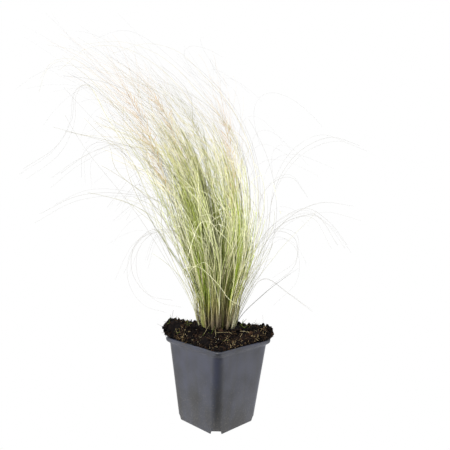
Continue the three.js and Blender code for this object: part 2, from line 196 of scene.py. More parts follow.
def skin(grid, rows, **values):
    # a surface through a stack of closed rings; rows is how much of the map it gets
    rings, count, _ = grid.shape
    ring = (np.arange(rings - 1) * count)[:, None]
    side = np.arange(count)[None, :]
    a, b = ring + side, ring + (side + 1) % count
    u = np.broadcast_to(side / count, a.shape)
    v = np.broadcast_to(np.arange(rings - 1)[:, None] * rows / (rings - 1), a.shape)
    right, up = u + 1 / count, v + rows / (rings - 1)
    return {
        "points": grid.reshape(-1, 3),
        "quads": np.stack([a, b, b + count, a + count], axis=-1).reshape(-1, 4),
        "triangles": np.zeros((0, 3), int),
        "quadMap": faceCorners((u, v), (right, v), (right, up), (u, up)).reshape(-1, 4, 2),
        "triangleMap": np.zeros((0, 3, 2)),
        "rows": rows,
        "values": forEachPoint(values, (rings, count)),
    }


def lumps(shape, faces, **values):
    # many small closed bodies with the same faces; shape is bodies x points x 3
    count, size, _ = shape.shape
    triangles = (np.arange(count) * size)[:, None, None] + faces[None]
    u = np.broadcast_to(np.arange(len(faces))[None, :] / len(faces), (count, len(faces)))
    v = np.broadcast_to(np.arange(count)[:, None] + 0.1, u.shape)
    return {
        "points": shape.reshape(-1, 3),
        "quads": np.zeros((0, 4), int),
        "triangles": triangles.reshape(-1, 3),
        "quadMap": np.zeros((0, 4, 2)),
        "triangleMap": faceCorners((u, v), (u + 0.9 / len(faces), v), (u, v + 0.8)).reshape(-1, 3, 2),
        "rows": count,
        "values": forEachPoint(values, (count, size)),
    }


def buildMesh(name, parts, material):
    bases = np.cumsum([0] + [len(part["points"]) for part in parts])
    rows = np.cumsum([0] + [part["rows"] for part in parts])
    quads, triangles = (
        np.concatenate([part[kind] + base for part, base in zip(parts, bases)])
        for kind in ("quads", "triangles")
    )
    corners = np.concatenate([quads.reshape(-1), triangles.reshape(-1)]).astype(np.int32)
    sizes = np.concatenate([np.full(len(quads), 4), np.full(len(triangles), 3)]).astype(np.int32)
    points = np.concatenate([part["points"] for part in parts]).astype(np.float32)
    mapped = np.concatenate([
        (part[kind] + [0, row]).reshape(-1, 2)
        for kind in ("quadMap", "triangleMap")
        for part, row in zip(parts, rows)
    ])
    mapped[:, 1] /= rows[-1]
    mesh = bpy.data.meshes.new(name)
    mesh.vertices.add(len(points))
    mesh.vertices.foreach_set("co", points.ravel())
    mesh.loops.add(len(corners))
    mesh.loops.foreach_set("vertex_index", corners)
    mesh.polygons.add(len(sizes))
    mesh.polygons.foreach_set("loop_start", (np.cumsum(sizes) - sizes).astype(np.int32))
    mesh.update(calc_edges=True)
    layer = mesh.uv_layers.new(name=bakeMap)
    layer.uv.foreach_set("vector", mapped.astype(np.float32).ravel())
    for valueName in parts[0]["values"]:
        attribute = mesh.attributes.new(valueName, "FLOAT", "POINT")
        numbers = np.concatenate([part["values"][valueName] for part in parts])
        attribute.data.foreach_set("value", numbers.astype(np.float32))
    mesh.validate()
    mesh.shade_smooth()
    mesh.materials.append(material)
    return newObject(name, mesh)


def putOnFrame(piece, node):
    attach(piece, "root")
    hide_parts(node)


# stage: a white floor under soft light that comes mostly from the sides and from above

stage = {
    "cameraAzimuth": math.radians(44.648),  # from the -Y side towards +X
    "cameraDistance": 530 * mm,
    "cameraHeight": 230.754 * mm,
    "heading": math.radians(-0.475),
    "pitch": math.radians(-0.529),
    "roll": math.radians(1.495),
    "focalLength": 455.381 / 450,  # as a share of the image's width
    "sensorWidth": 36,
    "floorSize": 12.0,
    "floorFront": 64 * mm,  # the white sheet ends this far in front of the pot's middle
    "floorColour": "#AAAAAD",
    "floorGlow": 0.8,  # the sheet is lit from beneath as well
    "seenWhite": 1.0,  # how bright floor and backdrop look; brighter would eat the finest strands
    "lightColour": "#FCFCFF",
    "skyTop": 1.9,
    "skySides": 1.7,
    "skyFront": 1.0,
    "belowFront": 0.1,
    "keyStrength": 4.2,
    "keySoftness": math.radians(9),
    "keyHeight": math.radians(44),
    "keyAside": math.radians(-23),  # from the camera's azimuth; negative is to its left
}


def makeCamera():
    azimuth, distance = stage["cameraAzimuth"], stage["cameraDistance"]
    camera = newObject("camera", bpy.data.cameras.new("camera"))
    camera.data.sensor_width = stage["sensorWidth"]
    camera.data.lens = stage["sensorWidth"] * stage["focalLength"]
    camera.data.clip_start = 10 * mm
    turn = (
        Matrix.Rotation(azimuth + stage["heading"], 4, "Z")
        @ Matrix.Rotation(math.pi / 2 + stage["pitch"], 4, "X")
        @ Matrix.Rotation(stage["roll"], 4, "Z")
    )
    place = (distance * math.sin(azimuth), -distance * math.cos(azimuth), stage["cameraHeight"])
    camera.matrix_world = Matrix.Translation(place) @ turn
    bpy.context.scene.camera = camera


def whiteToCamera(tree, kind, lit):
    # plain white to the camera, while everything else gets the light of the lit shader
    white = addNode(tree, kind, inputs={"Color": (1, 1, 1, 1), "Strength": stage["seenWhite"]})
    ray = addNode(tree, "ShaderNodeLightPath").outputs["Is Camera Ray"]
    return addNode(tree, "ShaderNodeMixShader", links={0: ray, 1: lit, 2: white})


def makeFloor(towards, aside):
    front, back = towards * stage["floorFront"], towards * stage["floorSize"] / -2
    right = aside * stage["floorSize"] / 2
    mesh = bpy.data.meshes.new("floor")
    mesh.from_pydata([front - right, front + right, back + right, back - right], [], [(0, 1, 2, 3)])
    floor = newObject("floor", mesh)
    material, tree, shader = newMaterial("matt white paper")
    setNode(tree, shader, inputs={
        "Base Color": linearColour(stage["floorColour"]),
        "Roughness": 1.0,
        "Specular IOR Level": 0.0,
        "Emission Color": linearColour(stage["lightColour"]),
        "Emission Strength": stage["floorGlow"],
    })
    seen = whiteToCamera(tree, "ShaderNodeEmission", shader)
    setNode(tree, tree.nodes["Material Output"], links={"Surface": seen})
    mesh.materials.append(material)


def makeSky(towards):
    world = bpy.data.worlds.new("studio")
    bpy.context.scene.world = world
    world.use_nodes = True
    tree = world.node_tree
    tree.nodes.clear()
    direction = addNode(tree, "ShaderNodeTexCoord").outputs["Generated"]
    front = addNode(tree, "ShaderNodeVectorMath", operation="DOT_PRODUCT", inputs={1: towards},
                    links={0: direction}).outputs["Value"]
    height = addNode(tree, "ShaderNodeSeparateXYZ", links={0: direction}).outputs["Z"]
    isFront, sides, ahead = (
        addNode(tree, "ShaderNodeMapRange", interpolation_type="SMOOTHSTEP", links={"Value": value},
                inputs={"From Min": low, "From Max": high, "To Min": start, "To Max": end})
        for value, low, high, start, end in [
            (front, 0.15, 0.8, 0.0, 1.0),
            (height, 0.3, 0.9, stage["skySides"], stage["skyTop"]),
            (height, -0.05, 0.4, stage["belowFront"], stage["skyFront"]),
        ]
    )
    strength = addNode(tree, "ShaderNodeMix", data_type="FLOAT", links={0: isFront, 2: sides, 3: ahead})
    light = addNode(tree, "ShaderNodeBackground", inputs={"Color": linearColour(stage["lightColour"])},
                    links={"Strength": strength})
    seen = whiteToCamera(tree, "ShaderNodeBackground", light)
    addNode(tree, "ShaderNodeOutputWorld", links={"Surface": seen})
    bpy.context.scene.view_settings.view_transform = "Standard"


def makeKeyLight():
    key = newObject("key light", bpy.data.lights.new("key light", "SUN"))
    key.data.energy = stage["keyStrength"]
    key.data.angle = stage["keySoftness"]
    key.rotation_euler = (math.pi / 2 - stage["keyHeight"], 0, stage["cameraAzimuth"] + stage["keyAside"])


def makeStage():
    azimuth = stage["cameraAzimuth"]
    towards = Vector((math.sin(azimuth), -math.cos(azimuth), 0))
    aside = Vector((math.cos(azimuth), math.sin(azimuth), 0))
    makeFloor(towards, aside)
    makeSky(towards)
    makeKeyLight()


print("camera and stage")
makeCamera()
makeStage()


# pot: thin black polypropylene, formed over a mould, so the lip is rolled and every edge is soft

pot = {
    "height": 94 * mm,
    "rimWidth": 90 * mm,
    "neckWidth": 84.7 * mm,
    "baseWidth": 65.8 * mm,
    "wall": 1.2 * mm,
    "floor": 1.6 * mm,
    "corner": 9.6 * mm,
    "footCorner": 9.1 * mm,
    "lipCorner": 6.4 * mm,
    "lipFace": 4 * mm,
    "lipSlope": 2 * mm,
    "lipRounding": 0.9 * mm,
    "lipFootRounding": 1.1 * mm,
    "lipInside": 1.2 * mm,
    "lipDraft": (0.4 * mm, 0.3 * mm, 0.05 * mm),  # what its face stands back, from its foot up
    "footRounding": 0.8 * mm,
    "wallRounding": 1.5 * mm,  # where a wall runs into the neck, the lip or the floor
    "notchWidth": 12.2 * mm,
    "notchTopWidth": 9.4 * mm,
    "notchHeight": 4.8 * mm,
    "notchDepth": 9 * mm,
    "notchRounding": 0.5 * mm,
    "drainHole": 8 * mm,
    "drainOffset": 15 * mm,
    "cutterRoom": 4 * mm,  # how far the notches' cutters stand out of the pot
    "cornerSteps": 14,
    "sideSteps": 10,
    "holeSteps": 32,
}
potNeck = pot["height"] - pot["lipFace"] - pot["lipSlope"]


def potOuter(height):
    # half the width of the pot's outside, as if its wall ran on up to the top
    return pot["baseWidth"] / 2 + (pot["neckWidth"] - pot["baseWidth"]) / 2 / potNeck * height


def squareRing(half, radius, height, cornerSteps, sideSteps):
    # a square with round corners, anticlockwise from above
    corner = np.linspace(0, math.pi / 2, cornerSteps + 1)
    arc = (half - radius) + radius * np.stack([np.cos(corner), np.sin(corner)], axis=-1)
    straight = np.linspace(arc[-1], [-(half - radius), half], sideSteps + 1)[1:-1]
    quarter = np.concatenate([arc, straight])
    turns = [(1, 0), (0, 1), (-1, 0), (0, -1)]
    ring = np.concatenate([quarter @ np.array([[c, s], [-s, c]]) for c, s in turns])
    return np.column_stack([ring, np.full(len(ring), height)])


def bend(start, corner, end, steps=4):
    # points of a soft corner between two straight stretches of a profile
    t = np.linspace(0, 1, steps + 1)[:, None]
    start, corner, end = np.array(start), np.array(corner), np.array(end)
    return list((1 - t) ** 2 * start + 2 * t * (1 - t) * corner + t**2 * end)


def potProfile():
    # rows of half width, corner radius and height, from the underside up the outside and down inside
    wall, top, lip, lipCorner = pot["wall"], pot["height"], pot["rimWidth"] / 2, pot["lipCorner"]
    foot, soft, roll = pot["footRounding"], pot["wallRounding"], pot["lipRounding"]
    footDraft, faceDraft, topDraft = pot["lipDraft"]
    bandFoot = potNeck + pot["lipSlope"]
    widening = pot["corner"] - pot["footCorner"]
    radius = lambda z: pot["footCorner"] + widening * min(1, z / potNeck)
    outer = lambda z: (potOuter(z), radius(z), z)
    inner = lambda z: (potOuter(z) - wall, radius(z) - wall, z)
    rows = bend((potOuter(0) - foot, radius(0) - foot, 0), outer(0), outer(foot))
    rows += [outer(z) for z in np.linspace(foot, potNeck - soft, 9)[1:-1]]
    underLip = (lip - footDraft, lipCorner, bandFoot)
    halfWay = tuple((np.array(outer(potNeck)) + np.array(underLip)) / 2)
    rows += bend(outer(potNeck - soft), outer(potNeck), halfWay)
    rows += bend(halfWay, underLip, (lip - faceDraft, lipCorner, bandFoot + pot["lipFootRounding"]))[1:]
    rows += bend((lip - topDraft, lipCorner, top - 2 * roll), (lip, lipCorner, top - 0.1 * roll),
                 (lip - 1.1 * roll, lipCorner - roll, top), 5)
    rows += bend((inner(top)[0] + pot["lipInside"], pot["corner"], top), inner(top), inner(top - soft))
    rows += [inner(z) for z in np.linspace(top - soft, pot["floor"] + soft, 7)[1:]]
    floor = inner(pot["floor"])
    rows += bend(rows[-1], floor, (floor[0] - soft, floor[1] - soft, floor[2]))[1:]
    return rows


def cutterMesh():
    # a wedge for each corner's drain notch and a rod for each drain hole
    reach = pot["baseWidth"] / 2 * math.sqrt(2) - pot["corner"] * (math.sqrt(2) - 1)
    wide, narrow, high = pot["notchWidth"] / 2, pot["notchTopWidth"] / 2, pot["notchHeight"]
    room, soft = pot["cutterRoom"], pot["notchRounding"]
    # clockwise, because the wedge runs inwards
    outline = [(-wide, 0), (-narrow - soft * 0.3, high - soft), (-narrow + soft, high), (narrow - soft, high),
               (narrow + soft * 0.3, high - soft), (wide, 0), (wide, -room), (-wide, -room)]
    rod = [(pot["drainHole"] / 2 * math.cos(a), pot["drainHole"] / 2 * math.sin(a))
           for a in np.linspace(0, 2 * math.pi, pot["holeSteps"], endpoint=False)]
    points, faces = [], []

    def addPrism(loop, place):
        n, start = len(loop), len(points)
        points.extend(place(*p, end) for end in (0, 1) for p in loop)
        faces.append([start + i for i in reversed(range(n))])
        faces.append([start + n + i for i in range(n)])
        for i in range(n):
            k = (i + 1) % n
            faces.append([start + i, start + k, start + n + k, start + n + i])

    for quarter in range(4):
        angle = math.pi / 4 + quarter * math.pi / 2
        out = Vector((math.cos(angle), math.sin(angle), 0))
        aside = Vector((-math.sin(angle), math.cos(angle), 0))

        def notchPlace(x, z, end):
            return out * (reach + room - end * (pot["notchDepth"] + room)) + aside * x + Vector((0, 0, z))

        def holePlace(x, y, end):
            centre = out * pot["drainOffset"] * math.sqrt(2)
            return centre + Vector((x, y, (2 * end - 1) * 2 * pot["floor"]))

        addPrism(outline, notchPlace)
        addPrism(rod, holePlace)
    mesh = bpy.data.meshes.new("drainCutter")
    mesh.from_pydata(points, [], faces)
    return mesh


def mouldedPlastic():
    # black polypropylene, vacuum formed: a satin skin that greys towards the light, faint draw marks
    # down the walls, handling scuffs, patches of soil dust low down, and darker, greyer colour lower down
    material, tree, shader = newMaterial("black polypropylene, vacuum formed")
    place = addNode(tree, "ShaderNodeTexCoord").outputs["Object"]
    height = addNode(tree, "ShaderNodeSeparateXYZ", links={0: place}).outputs["Z"]
    clouds, dust, grain = (
        addNode(tree, "ShaderNodeTexNoise", links={"Vector": place},
                inputs={"Scale": 1 / (size * mm), "Detail": detail, "Roughness": roughness})
        for size, detail, roughness in [(22, 3.0, 0.5), (1.6, 4.0, 0.7), (0.5, 2.0, 0.5)]
    )
    drawn, broad = (
        addNode(tree, "ShaderNodeMapping", links={"Vector": place},
                inputs={"Scale": (1 / (width * mm), 1 / (width * mm), 1 / (length * mm))})
        for width, length in [(3, 60), (10, 80)]
    )
    marks, streaks = (
        addNode(tree, "ShaderNodeTexNoise", links={"Vector": way}, inputs={"Scale": 1.0, "Detail": detail})
        for way, detail in [(drawn, 2.0), (broad, 1.5)]
    )
    low = addNode(tree, "ShaderNodeMapRange", links={"Value": height},
                  inputs={"From Min": 8 * mm, "From Max": 70 * mm, "To Min": 0.3, "To Max": 0.0})
    settled = addNode(tree, "ShaderNodeMath", operation="MULTIPLY_ADD", inputs={1: 0.3},
                      links={0: low, 2: dust})
    dustAmount = fillRamp(addNode(tree, "ShaderNodeValToRGB", links={0: settled}), [(0.6, 0.0), (0.8, 0.35)])
    blotches = addNode(tree, "ShaderNodeMath", operation="ADD", links={0: clouds, 1: streaks})
    blotchedDarkerLow = addNode(tree, "ShaderNodeMath", operation="ADD", links={0: blotches, 1: low})
    # the ramp runs over half of the sum, from bluish to a darker, duller grey, so the body grows darker and
    # greyer towards the bottom
    halved = addNode(tree, "ShaderNodeMath", operation="MULTIPLY", inputs={1: 0.5}, links={0: blotchedDarkerLow})
    body = fillRamp(addNode(tree, "ShaderNodeValToRGB", links={0: halved}),
                    [(0.4, "#252836"), (0.55, "#23252D"), (0.7, "#1F1F1F")])
    colour = addNode(tree, "ShaderNodeMix", data_type="RGBA", inputs={7: linearColour("#6A665C")},
                     links={0: dustAmount, 6: body})
    rough = addNode(tree, "ShaderNodeMapRange", links={"Value": clouds},
                    inputs={"From Min": 0.3, "From Max": 0.7, "To Min": 0.42, "To Max": 0.58})
    markBump = addNode(tree, "ShaderNodeBump", inputs={"Strength": 0.25, "Distance": 0.12 * mm},
                       links={"Height": marks})
    grainBump = addNode(tree, "ShaderNodeBump", inputs={"Strength": 0.2, "Distance": 0.03 * mm},
                        links={"Height": grain, "Normal": markBump})
    setNode(tree, shader, {"IOR": 1.49},
            {"Base Color": colour.outputs[2], "Roughness": rough, "Normal": grainBump})
    return material


def makePot():
    rings = [squareRing(half, radius, z, pot["cornerSteps"], pot["sideSteps"])
             for half, radius, z in potProfile()]
    count, last = len(rings[0]), len(rings) - 1
    points = [tuple(p) for ring in rings for p in ring]
    quad = [(0, 0), (0, 1), (1, 1), (1, 0)]
    faces = [tuple((r + up) * count + (i + on) % count for up, on in quad)
             for r in range(last) for i in range(count)]
    faces += [tuple(reversed(range(count))), tuple(last * count + i for i in range(count))]
    mesh = bpy.data.meshes.new("potMoulded")
    mesh.from_pydata(points, [], faces)
    piece = newObject("pot_moulded", mesh)
    cutter = newObject("drainCutter", cutterMesh())
    cut = piece.modifiers.new("drain", "BOOLEAN")
    cut.operation = "DIFFERENCE"
    cut.solver = "EXACT"
    cut.object = cutter
    done = bpy.data.meshes.new_from_object(piece.evaluated_get(bpy.context.evaluated_depsgraph_get()))
    piece.modifiers.clear()
    piece.data = done
    bpy.data.objects.remove(cutter)
    done.shade_smooth()
    done.set_sharp_from_angle(angle=math.radians(35))
    done.materials.clear()
    done.materials.append(mouldedPlastic())
    putOnFrame(piece, "pot")


print("pot")
makePot()


# soil: moist peat with coarse crumbs, plant fibres and a little moss, heaped over two corners

soil = {
    "seed": 11,
    "gap": 0.35 * mm,  # between the soil and the pot's wall and floor
    "overRim": 0.4 * mm,  # what the soil's edge stays above the lip
    "overLip": 0.24 * mm,  # and the least that any crumb or fibre does
    "lipRoom": 0.2 * mm,  # crumbs nearer to the wall than this are kept above the lip
    "frontRise": 1.5 * mm,
    "backRise": 9 * mm,
    "backSharpness": 2,
    "leftHeap": 18 * mm,
    "rightHeap": 12.5 * mm,
    "heapSharpness": 5,
    "heapOverhang": 7.8 * mm,
    "overhangSharpness": 9,
    "footCorner": 22 * mm,  # keeps the soil behind the drain notches
    "footRounding": 1 * mm,
    "footTop": 5.2 * mm,
    "footBlend": 4 * mm,
    "wallSteps": 5,
    "crownRise": 14 * mm,
    "crownRadius": 28 * mm,
    "aroundSteps": 26,  # along each side and round each corner
    "rings": 84,
    "mapRows": 900,  # of the bake's map, where a crumb or a fibre has one
    "clodSize": 7 * mm,
    "clodDepth": 2.2 * mm,
    "grainSize": 2.2 * mm,
    "grainDepth": 0.9 * mm,
    "clodWaves": 0.6,  # of the clods' height
    "calmRows": 1.2,  # smooth over these rows, where the soil meets the pot
    "crumbs": 1600,
    "crumbRadius": (0.45 * mm, 1.5 * mm),
    "crumbStretch": (0.6, 1.3),
    "crumbRoughness": 0.24,
    "clods": 260,
    "clodRadius": (1.2 * mm, 2.9 * mm),
    "grit": 9,
    "gritRadius": (0.5 * mm, 0.9 * mm),
    "spikeDepth": 2.1 * mm,  # from a standing crumb's tip to its middle
    "spikeStretch": ((0.55 * mm, 0.55 * mm, 1.7 * mm), (0.9 * mm, 0.9 * mm, 2.6 * mm)),
    "spikeRoughness": 0.22,
    "spikeLean": 0.35,
    "looseFibres": 150,
    "looseStraws": 14,
    "looseMosses": 16,
    "threadSteps": 7,
    "patchTries": 9000,  # places out of which a patch takes the near ones
}
soilKinds = {"peat": 0.0, "crumb": 0.2, "fibre": 0.4, "straw": 0.6, "moss": 0.8, "grit": 1.0}

# inward share, share of the edge's height, share of the way to the crown's height, overhang
soilRows = np.array([(0, 0, 0, 0), (0, 0.12, 0, 0.6), (0, 0.55, 0, 1), (0.04, 1, 0, 0.55), (0.16, 1, 0.25, 0),
                     (0.3, 0.9, 0.6, 0)])

# threads in the soil: kind, length and radius in mm, curl, how much they point out of it, the
# share of one that lies before its place, and tint
soilThreadLooks = {
    "fibre": ("fibre", (2, 7), (0.1, 0.3), 0.9, 0.3, 0.5, (0.2, 1)),
    "straw": ("straw", (1.5, 4), (0.12, 0.26), 0.5, 0.3, 0.4, (0, 1)),
    "moss": ("moss", (3, 9), (0.16, 0.32), 0.6, 0.8, 0.2, (0, 0.8)),
    "looseFibre": ("fibre", (3, 15), (0.09, 0.26), 0.7, 0.25, 0.35, (0, 0.7)),
    "looseStraw": ("straw", (8, 18), (0.1, 0.2), 0.3, 0.2, 0.5, (0, 1)),
    "looseMoss": ("moss", (5, 11), (0.12, 0.26), 0.8, 0.9, 0.15, (0, 1)),
}

# bits that lie close together: kind, how many, and the side, depth and spread of their patch in mm
soilPatches = [
    ("fibre", 60, -44, -20, 3.5),
    ("fibre", 22, -39, -22, 3.5),
    ("fibre", 90, 14, -37, 5),
    ("fibre", 30, 24, -28, 3.5),
    ("fibre", 30, 39, -19, 4),
    ("fibre", 32, 54, -14, 4),
    ("straw", 20, -30, -29, 9),
    ("straw", 10, -10, -46, 6),
    ("straw", 8, 12, -36, 5),
    ("moss", 4, -38, -8, 3),
    ("moss", 9, 29, -6, 3),
    ("moss", 4, -12, -26, 4),
]

# single blades that lie on the soil: kind, radius, both ends as side, depth and height, and sag, in mm
laidBlades = [
    ("moss", 0.4, (-47, -21, 103.5), (-33, -12, 111), -1),
    ("moss", 0.3, (-41, -13, 109.5), (-32, -8, 113.5), -1),
    ("straw", 0.2, (-3, -37, 109), (15, -31, 108), 0.5),
    ("straw", 0.3, (24, -25, 108.5), (35, -22, 106), 0.5),
    ("straw", 0.22, (-16, -27, 105), (-6, -23, 121), 0.5),
    ("moss", 0.26, (-17.5, -28, 103), (-10.5, -23, 114.5), -0.5),
    ("moss", 0.26, (-8, -32, 106), (-3.5, -27, 116.5), 0.5),
    ("straw", 0.22, (-3, -35, 105), (-4.5, -29, 115), 0),
    ("moss", 0.34, (24, -10, 109.5), (32, -5, 118), 0.5),
    ("moss", 0.3, (26.5, -8, 111), (28.5, -3, 117.5), 0),
]

# crumbs that stand up on the heaps: side, depth and height of the tip, in mm
soilSpikes = [
    (40.5, -5, 113.4), (43.4, -4, 112.8), (51.2, -6, 109.6), (56.5, -6, 110.4), (61.3, -2, 109.6),
    (62, -3, 105), (-53.3, -5, 116.4), (-55, -4, 114.8), (-41.5, -2, 113.8), (-32.2, 4, 114),
    (-61.8, -8, 106), (-60, -10, 101), (47, -4, 110), (35, -2, 113.5), (-47, -4, 113),
]


def soilSurface(row, brim):
    # row runs from 0 at the pot's wall over 5 to 6 at the crown's edge and 7 at its middle
    inward, share, toCrown, bulge = np.moveaxis(
        throughKnots(np.arange(6.0), soilRows, np.clip(row, 0, 5)), -1, 0)
    angle = np.arctan2(brim[..., 1], brim[..., 0])
    near = lambda degrees, sharp: np.clip(np.cos(angle - math.radians(degrees)), 0, 1) ** sharp
    left, right, back = 225, 45, 135
    edge = (soil["frontRise"] + soil["leftHeap"] * near(left, soil["heapSharpness"])
            + soil["rightHeap"] * near(right, soil["heapSharpness"])
            + soil["backRise"] * near(back, soil["backSharpness"]))
    heaped = np.maximum(near(left, soil["overhangSharpness"]), near(right, soil["overhangSharpness"]))
    reach = np.hypot(brim[..., 0], brim[..., 1])
    lift = edge * share * (1 - toCrown) + soil["crownRise"] * toCrown
    out = 1 - inward + bulge * soil["heapOverhang"] * heaped / reach
    height = np.maximum(soil["overRim"], lift)
    toPocket = smoothStep(row - 5)
    out = out + (soil["crownRadius"] / reach - out) * toPocket
    height = height + (soil["crownRise"] - height) * toPocket
    out = out * (1 - np.clip(row - 6, 0, 1))
    return np.stack([brim[..., 0] * out, brim[..., 1] * out, pot["height"] + height], axis=-1)


def potInner(height):
    return potOuter(height) - pot["wall"] - soil["gap"]


def soilRing(height):
    steps = soil["aroundSteps"]
    blend = min(1, max(0, (height - soil["footTop"]) / soil["footBlend"]))
    corner = soil["footCorner"] + (pot["corner"] - pot["wall"] - soil["footCorner"]) * blend
    return squareRing(potInner(height), corner, height, steps, steps)


def onSoil(random, count, rows, patch=None):
    # random places on the surface, all over it or in a patch, and the way out of it there
    rim = soilRing(pot["height"])
    tries = soil["patchTries"] if patch else count
    turn = random.random(tries) * len(rim)
    low = turn.astype(int)
    brim = rim[low] + (rim[(low + 1) % len(rim)] - rim[low]) * (turn - low)[:, None]
    row = random.uniform(*rows, tries)
    here = soilSurface(row, brim)
    if patch:
        away = (here - turned(np.array([*patch[:2], 0]) * mm))[:, :2] / (patch[2] * mm)
        near = np.exp(-0.5 * np.sum(away**2, axis=1))
        chosen = random.choice(tries, count, replace=False, p=near / near.sum())
        here, row, brim = here[chosen], row[chosen], brim[chosen]
    inward = soilSurface(row + 0.05, brim) - here
    beside = soilSurface(row, brim @ np.array([[1, 0.01, 0], [-0.01, 1, 0], [0, 0, 1]])) - here
    return here, unit(np.cross(beside, inward))


def peatCrumbs(random, count, radius, rows, ball, kind, sink):
    ballPoints, faces = ball
    places, outward = onSoil(random, count, rows)
    size = radius[0] + (radius[1] - radius[0]) * random.random(count) ** 2
    rough = 1 + soil["crumbRoughness"] * random.normal(size=(count, len(ballPoints)))
    stretch = random.uniform(*soil["crumbStretch"], (count, 1, 3))
    shape = ballPoints[None] * rough[..., None] * stretch * size[:, None, None]
    shape = shape + (places + outward * (size * sink)[:, None])[:, None]
    # nothing leans out so far that it touches the lip
    over = np.abs(shape[..., :2]).max(axis=-1) > potInner(pot["height"]) - soil["lipRoom"]
    lifted = np.maximum(shape[..., 2], pot["height"] + soil["overLip"])
    shape[..., 2] = np.where(over, lifted, shape[..., 2])
    return lumps(shape, faces, kind=soilKinds[kind], tint=random.random((count, 1)))


def standingCrumbs(random, tips, ball):
    ballPoints, faces = ball
    tips = turned(np.array(tips) * mm)
    count = len(tips)
    rough = 1 + soil["spikeRoughness"] * random.normal(size=(count, len(ballPoints)))
    stretch = random.uniform(*soil["spikeStretch"], (count, 3))
    shape = ballPoints[None] * rough[..., None] * stretch[:, None]
    shape[..., :2] += random.uniform(-soil["spikeLean"], soil["spikeLean"], (count, 1, 2)) * shape[..., 2:]
    shape += (tips - [0, 0, soil["spikeDepth"]])[:, None]
    return lumps(shape, faces, kind=soilKinds["crumb"], tint=random.random((count, 1)) * 0.7)


def laidBlade(kind, radius, start, end, sag):
    t = np.linspace(0, 1, soil["threadSteps"])[:, None]
    points = np.array(start) * (1 - t) + np.array(end) * t + [0, 0, 1] * (sag * 4 * t * (1 - t))
    radii = radius * mm * (1 - 0.6 * t[:, 0] ** 2)
    return tubes(turned(points * mm)[None], radii[None], 4, kind=soilKinds[kind], tint=0.4)


def soilThreads(random, look, count, rows, patch=None):
    # fibres that lie in the soil with their ends sticking out
    kind, length, radius, curl, lift, lies, tint = soilThreadLooks[look]
    steps = soil["threadSteps"]
    places, outward = onSoil(random, count, rows, patch)
    way = unit(random.normal(size=(count, 3)) + outward * lift)
    curve = unit(random.normal(size=(count, 3))) * curl
    reach = random.uniform(*np.array(length) * mm, count)[:, None, None]
    t = np.linspace(-lies, 1 - lies, steps)[None, :, None]
    course = t * way[:, None] + t**2 * curve[:, None]
    points = places[:, None] + outward[:, None] * 0.5 * mm + reach * course
    points[..., 2] = np.maximum(points[..., 2], pot["height"] + soil["overLip"])
    radii = random.uniform(*np.array(radius) * mm, (count, 1)) * np.linspace(1, 0.6, steps)[None, :]
    return tubes(points, radii, 3, kind=soilKinds[kind], tint=random.uniform(*tint, (count, 1)))


def moistPeat():
    # wet peat: almost black and matt where it is fresh, brown where a crumb has dried, with
    # rust-gold fibres, straw and moss lying in it
    material, tree, shader = newMaterial("moist peat, crumbled")
    kind, tint = (addNode(tree, "ShaderNodeAttribute", attribute_name=name).outputs["Fac"]
                  for name in ("kind", "tint"))
    place = addNode(tree, "ShaderNodeTexCoord").outputs["Object"]
    patches = addNode(tree, "ShaderNodeTexNoise", links={"Vector": place},
                      inputs={"Scale": 1 / (5 * mm), "Detail": 4.0, "Roughness": 0.65})
    peat = fillRamp(addNode(tree, "ShaderNodeValToRGB", links={0: patches}),
                    [(0.4, "#050404"), (0.55, "#0D0908"), (0.66, "#1C130D"), (0.78, "#302116")])
    # the bits' tints from dark to light
    tints = {
        "crumb": [(0.0, "#050404"), (0.6, "#0B0807"), (0.85, "#1A120D"), (1.0, "#35261A")],
        "fibre": [(0.0, "#1E1610"), (0.45, "#443425"), (0.8, "#756042"), (1.0, "#B0A078")],
        "straw": [(0.0, "#5A5038"), (0.6, "#968C68"), (1.0, "#C2B994")],
        "moss": [(0.0, "#252C12"), (0.5, "#465222"), (1.0, "#7C8844")],
        "grit": [(0.0, "#8E887C"), (1.0, "#8E887C")],
    }
    colour = peat.outputs[0]
    for name, stops in tints.items():
        other = fillRamp(addNode(tree, "ShaderNodeValToRGB", links={0: tint}), stops)
        isOther = addNode(tree, "ShaderNodeMath", operation="GREATER_THAN", links={0: kind},
                          inputs={1: soilKinds[name] - 0.1})
        mixed = addNode(tree, "ShaderNodeMix", data_type="RGBA", links={0: isOther, 6: colour, 7: other})
        colour = mixed.outputs[2]
    grain = addNode(tree, "ShaderNodeTexNoise", inputs={"Scale": 1 / (0.6 * mm), "Detail": 3.0},
                    links={"Vector": place})
    bump = addNode(tree, "ShaderNodeBump", inputs={"Strength": 0.7, "Distance": 0.3 * mm},
                   links={"Height": grain})
    # porous, so it hardly shines
    setNode(tree, shader, {"Roughness": 0.82, "IOR": 1.4, "Specular IOR Level": 0.07},
            {"Base Color": colour, "Normal": bump})
    return material


def ballMesh(subdivisions):
    # the points and faces of a unit ball of triangles
    shape = bmesh.new()
    bmesh.ops.create_icosphere(shape, subdivisions=subdivisions, radius=1)
    points = np.array([v.co[:] for v in shape.verts])
    faces = np.array([[v.index for v in f.verts] for f in shape.faces])
    shape.free()
    return points, faces


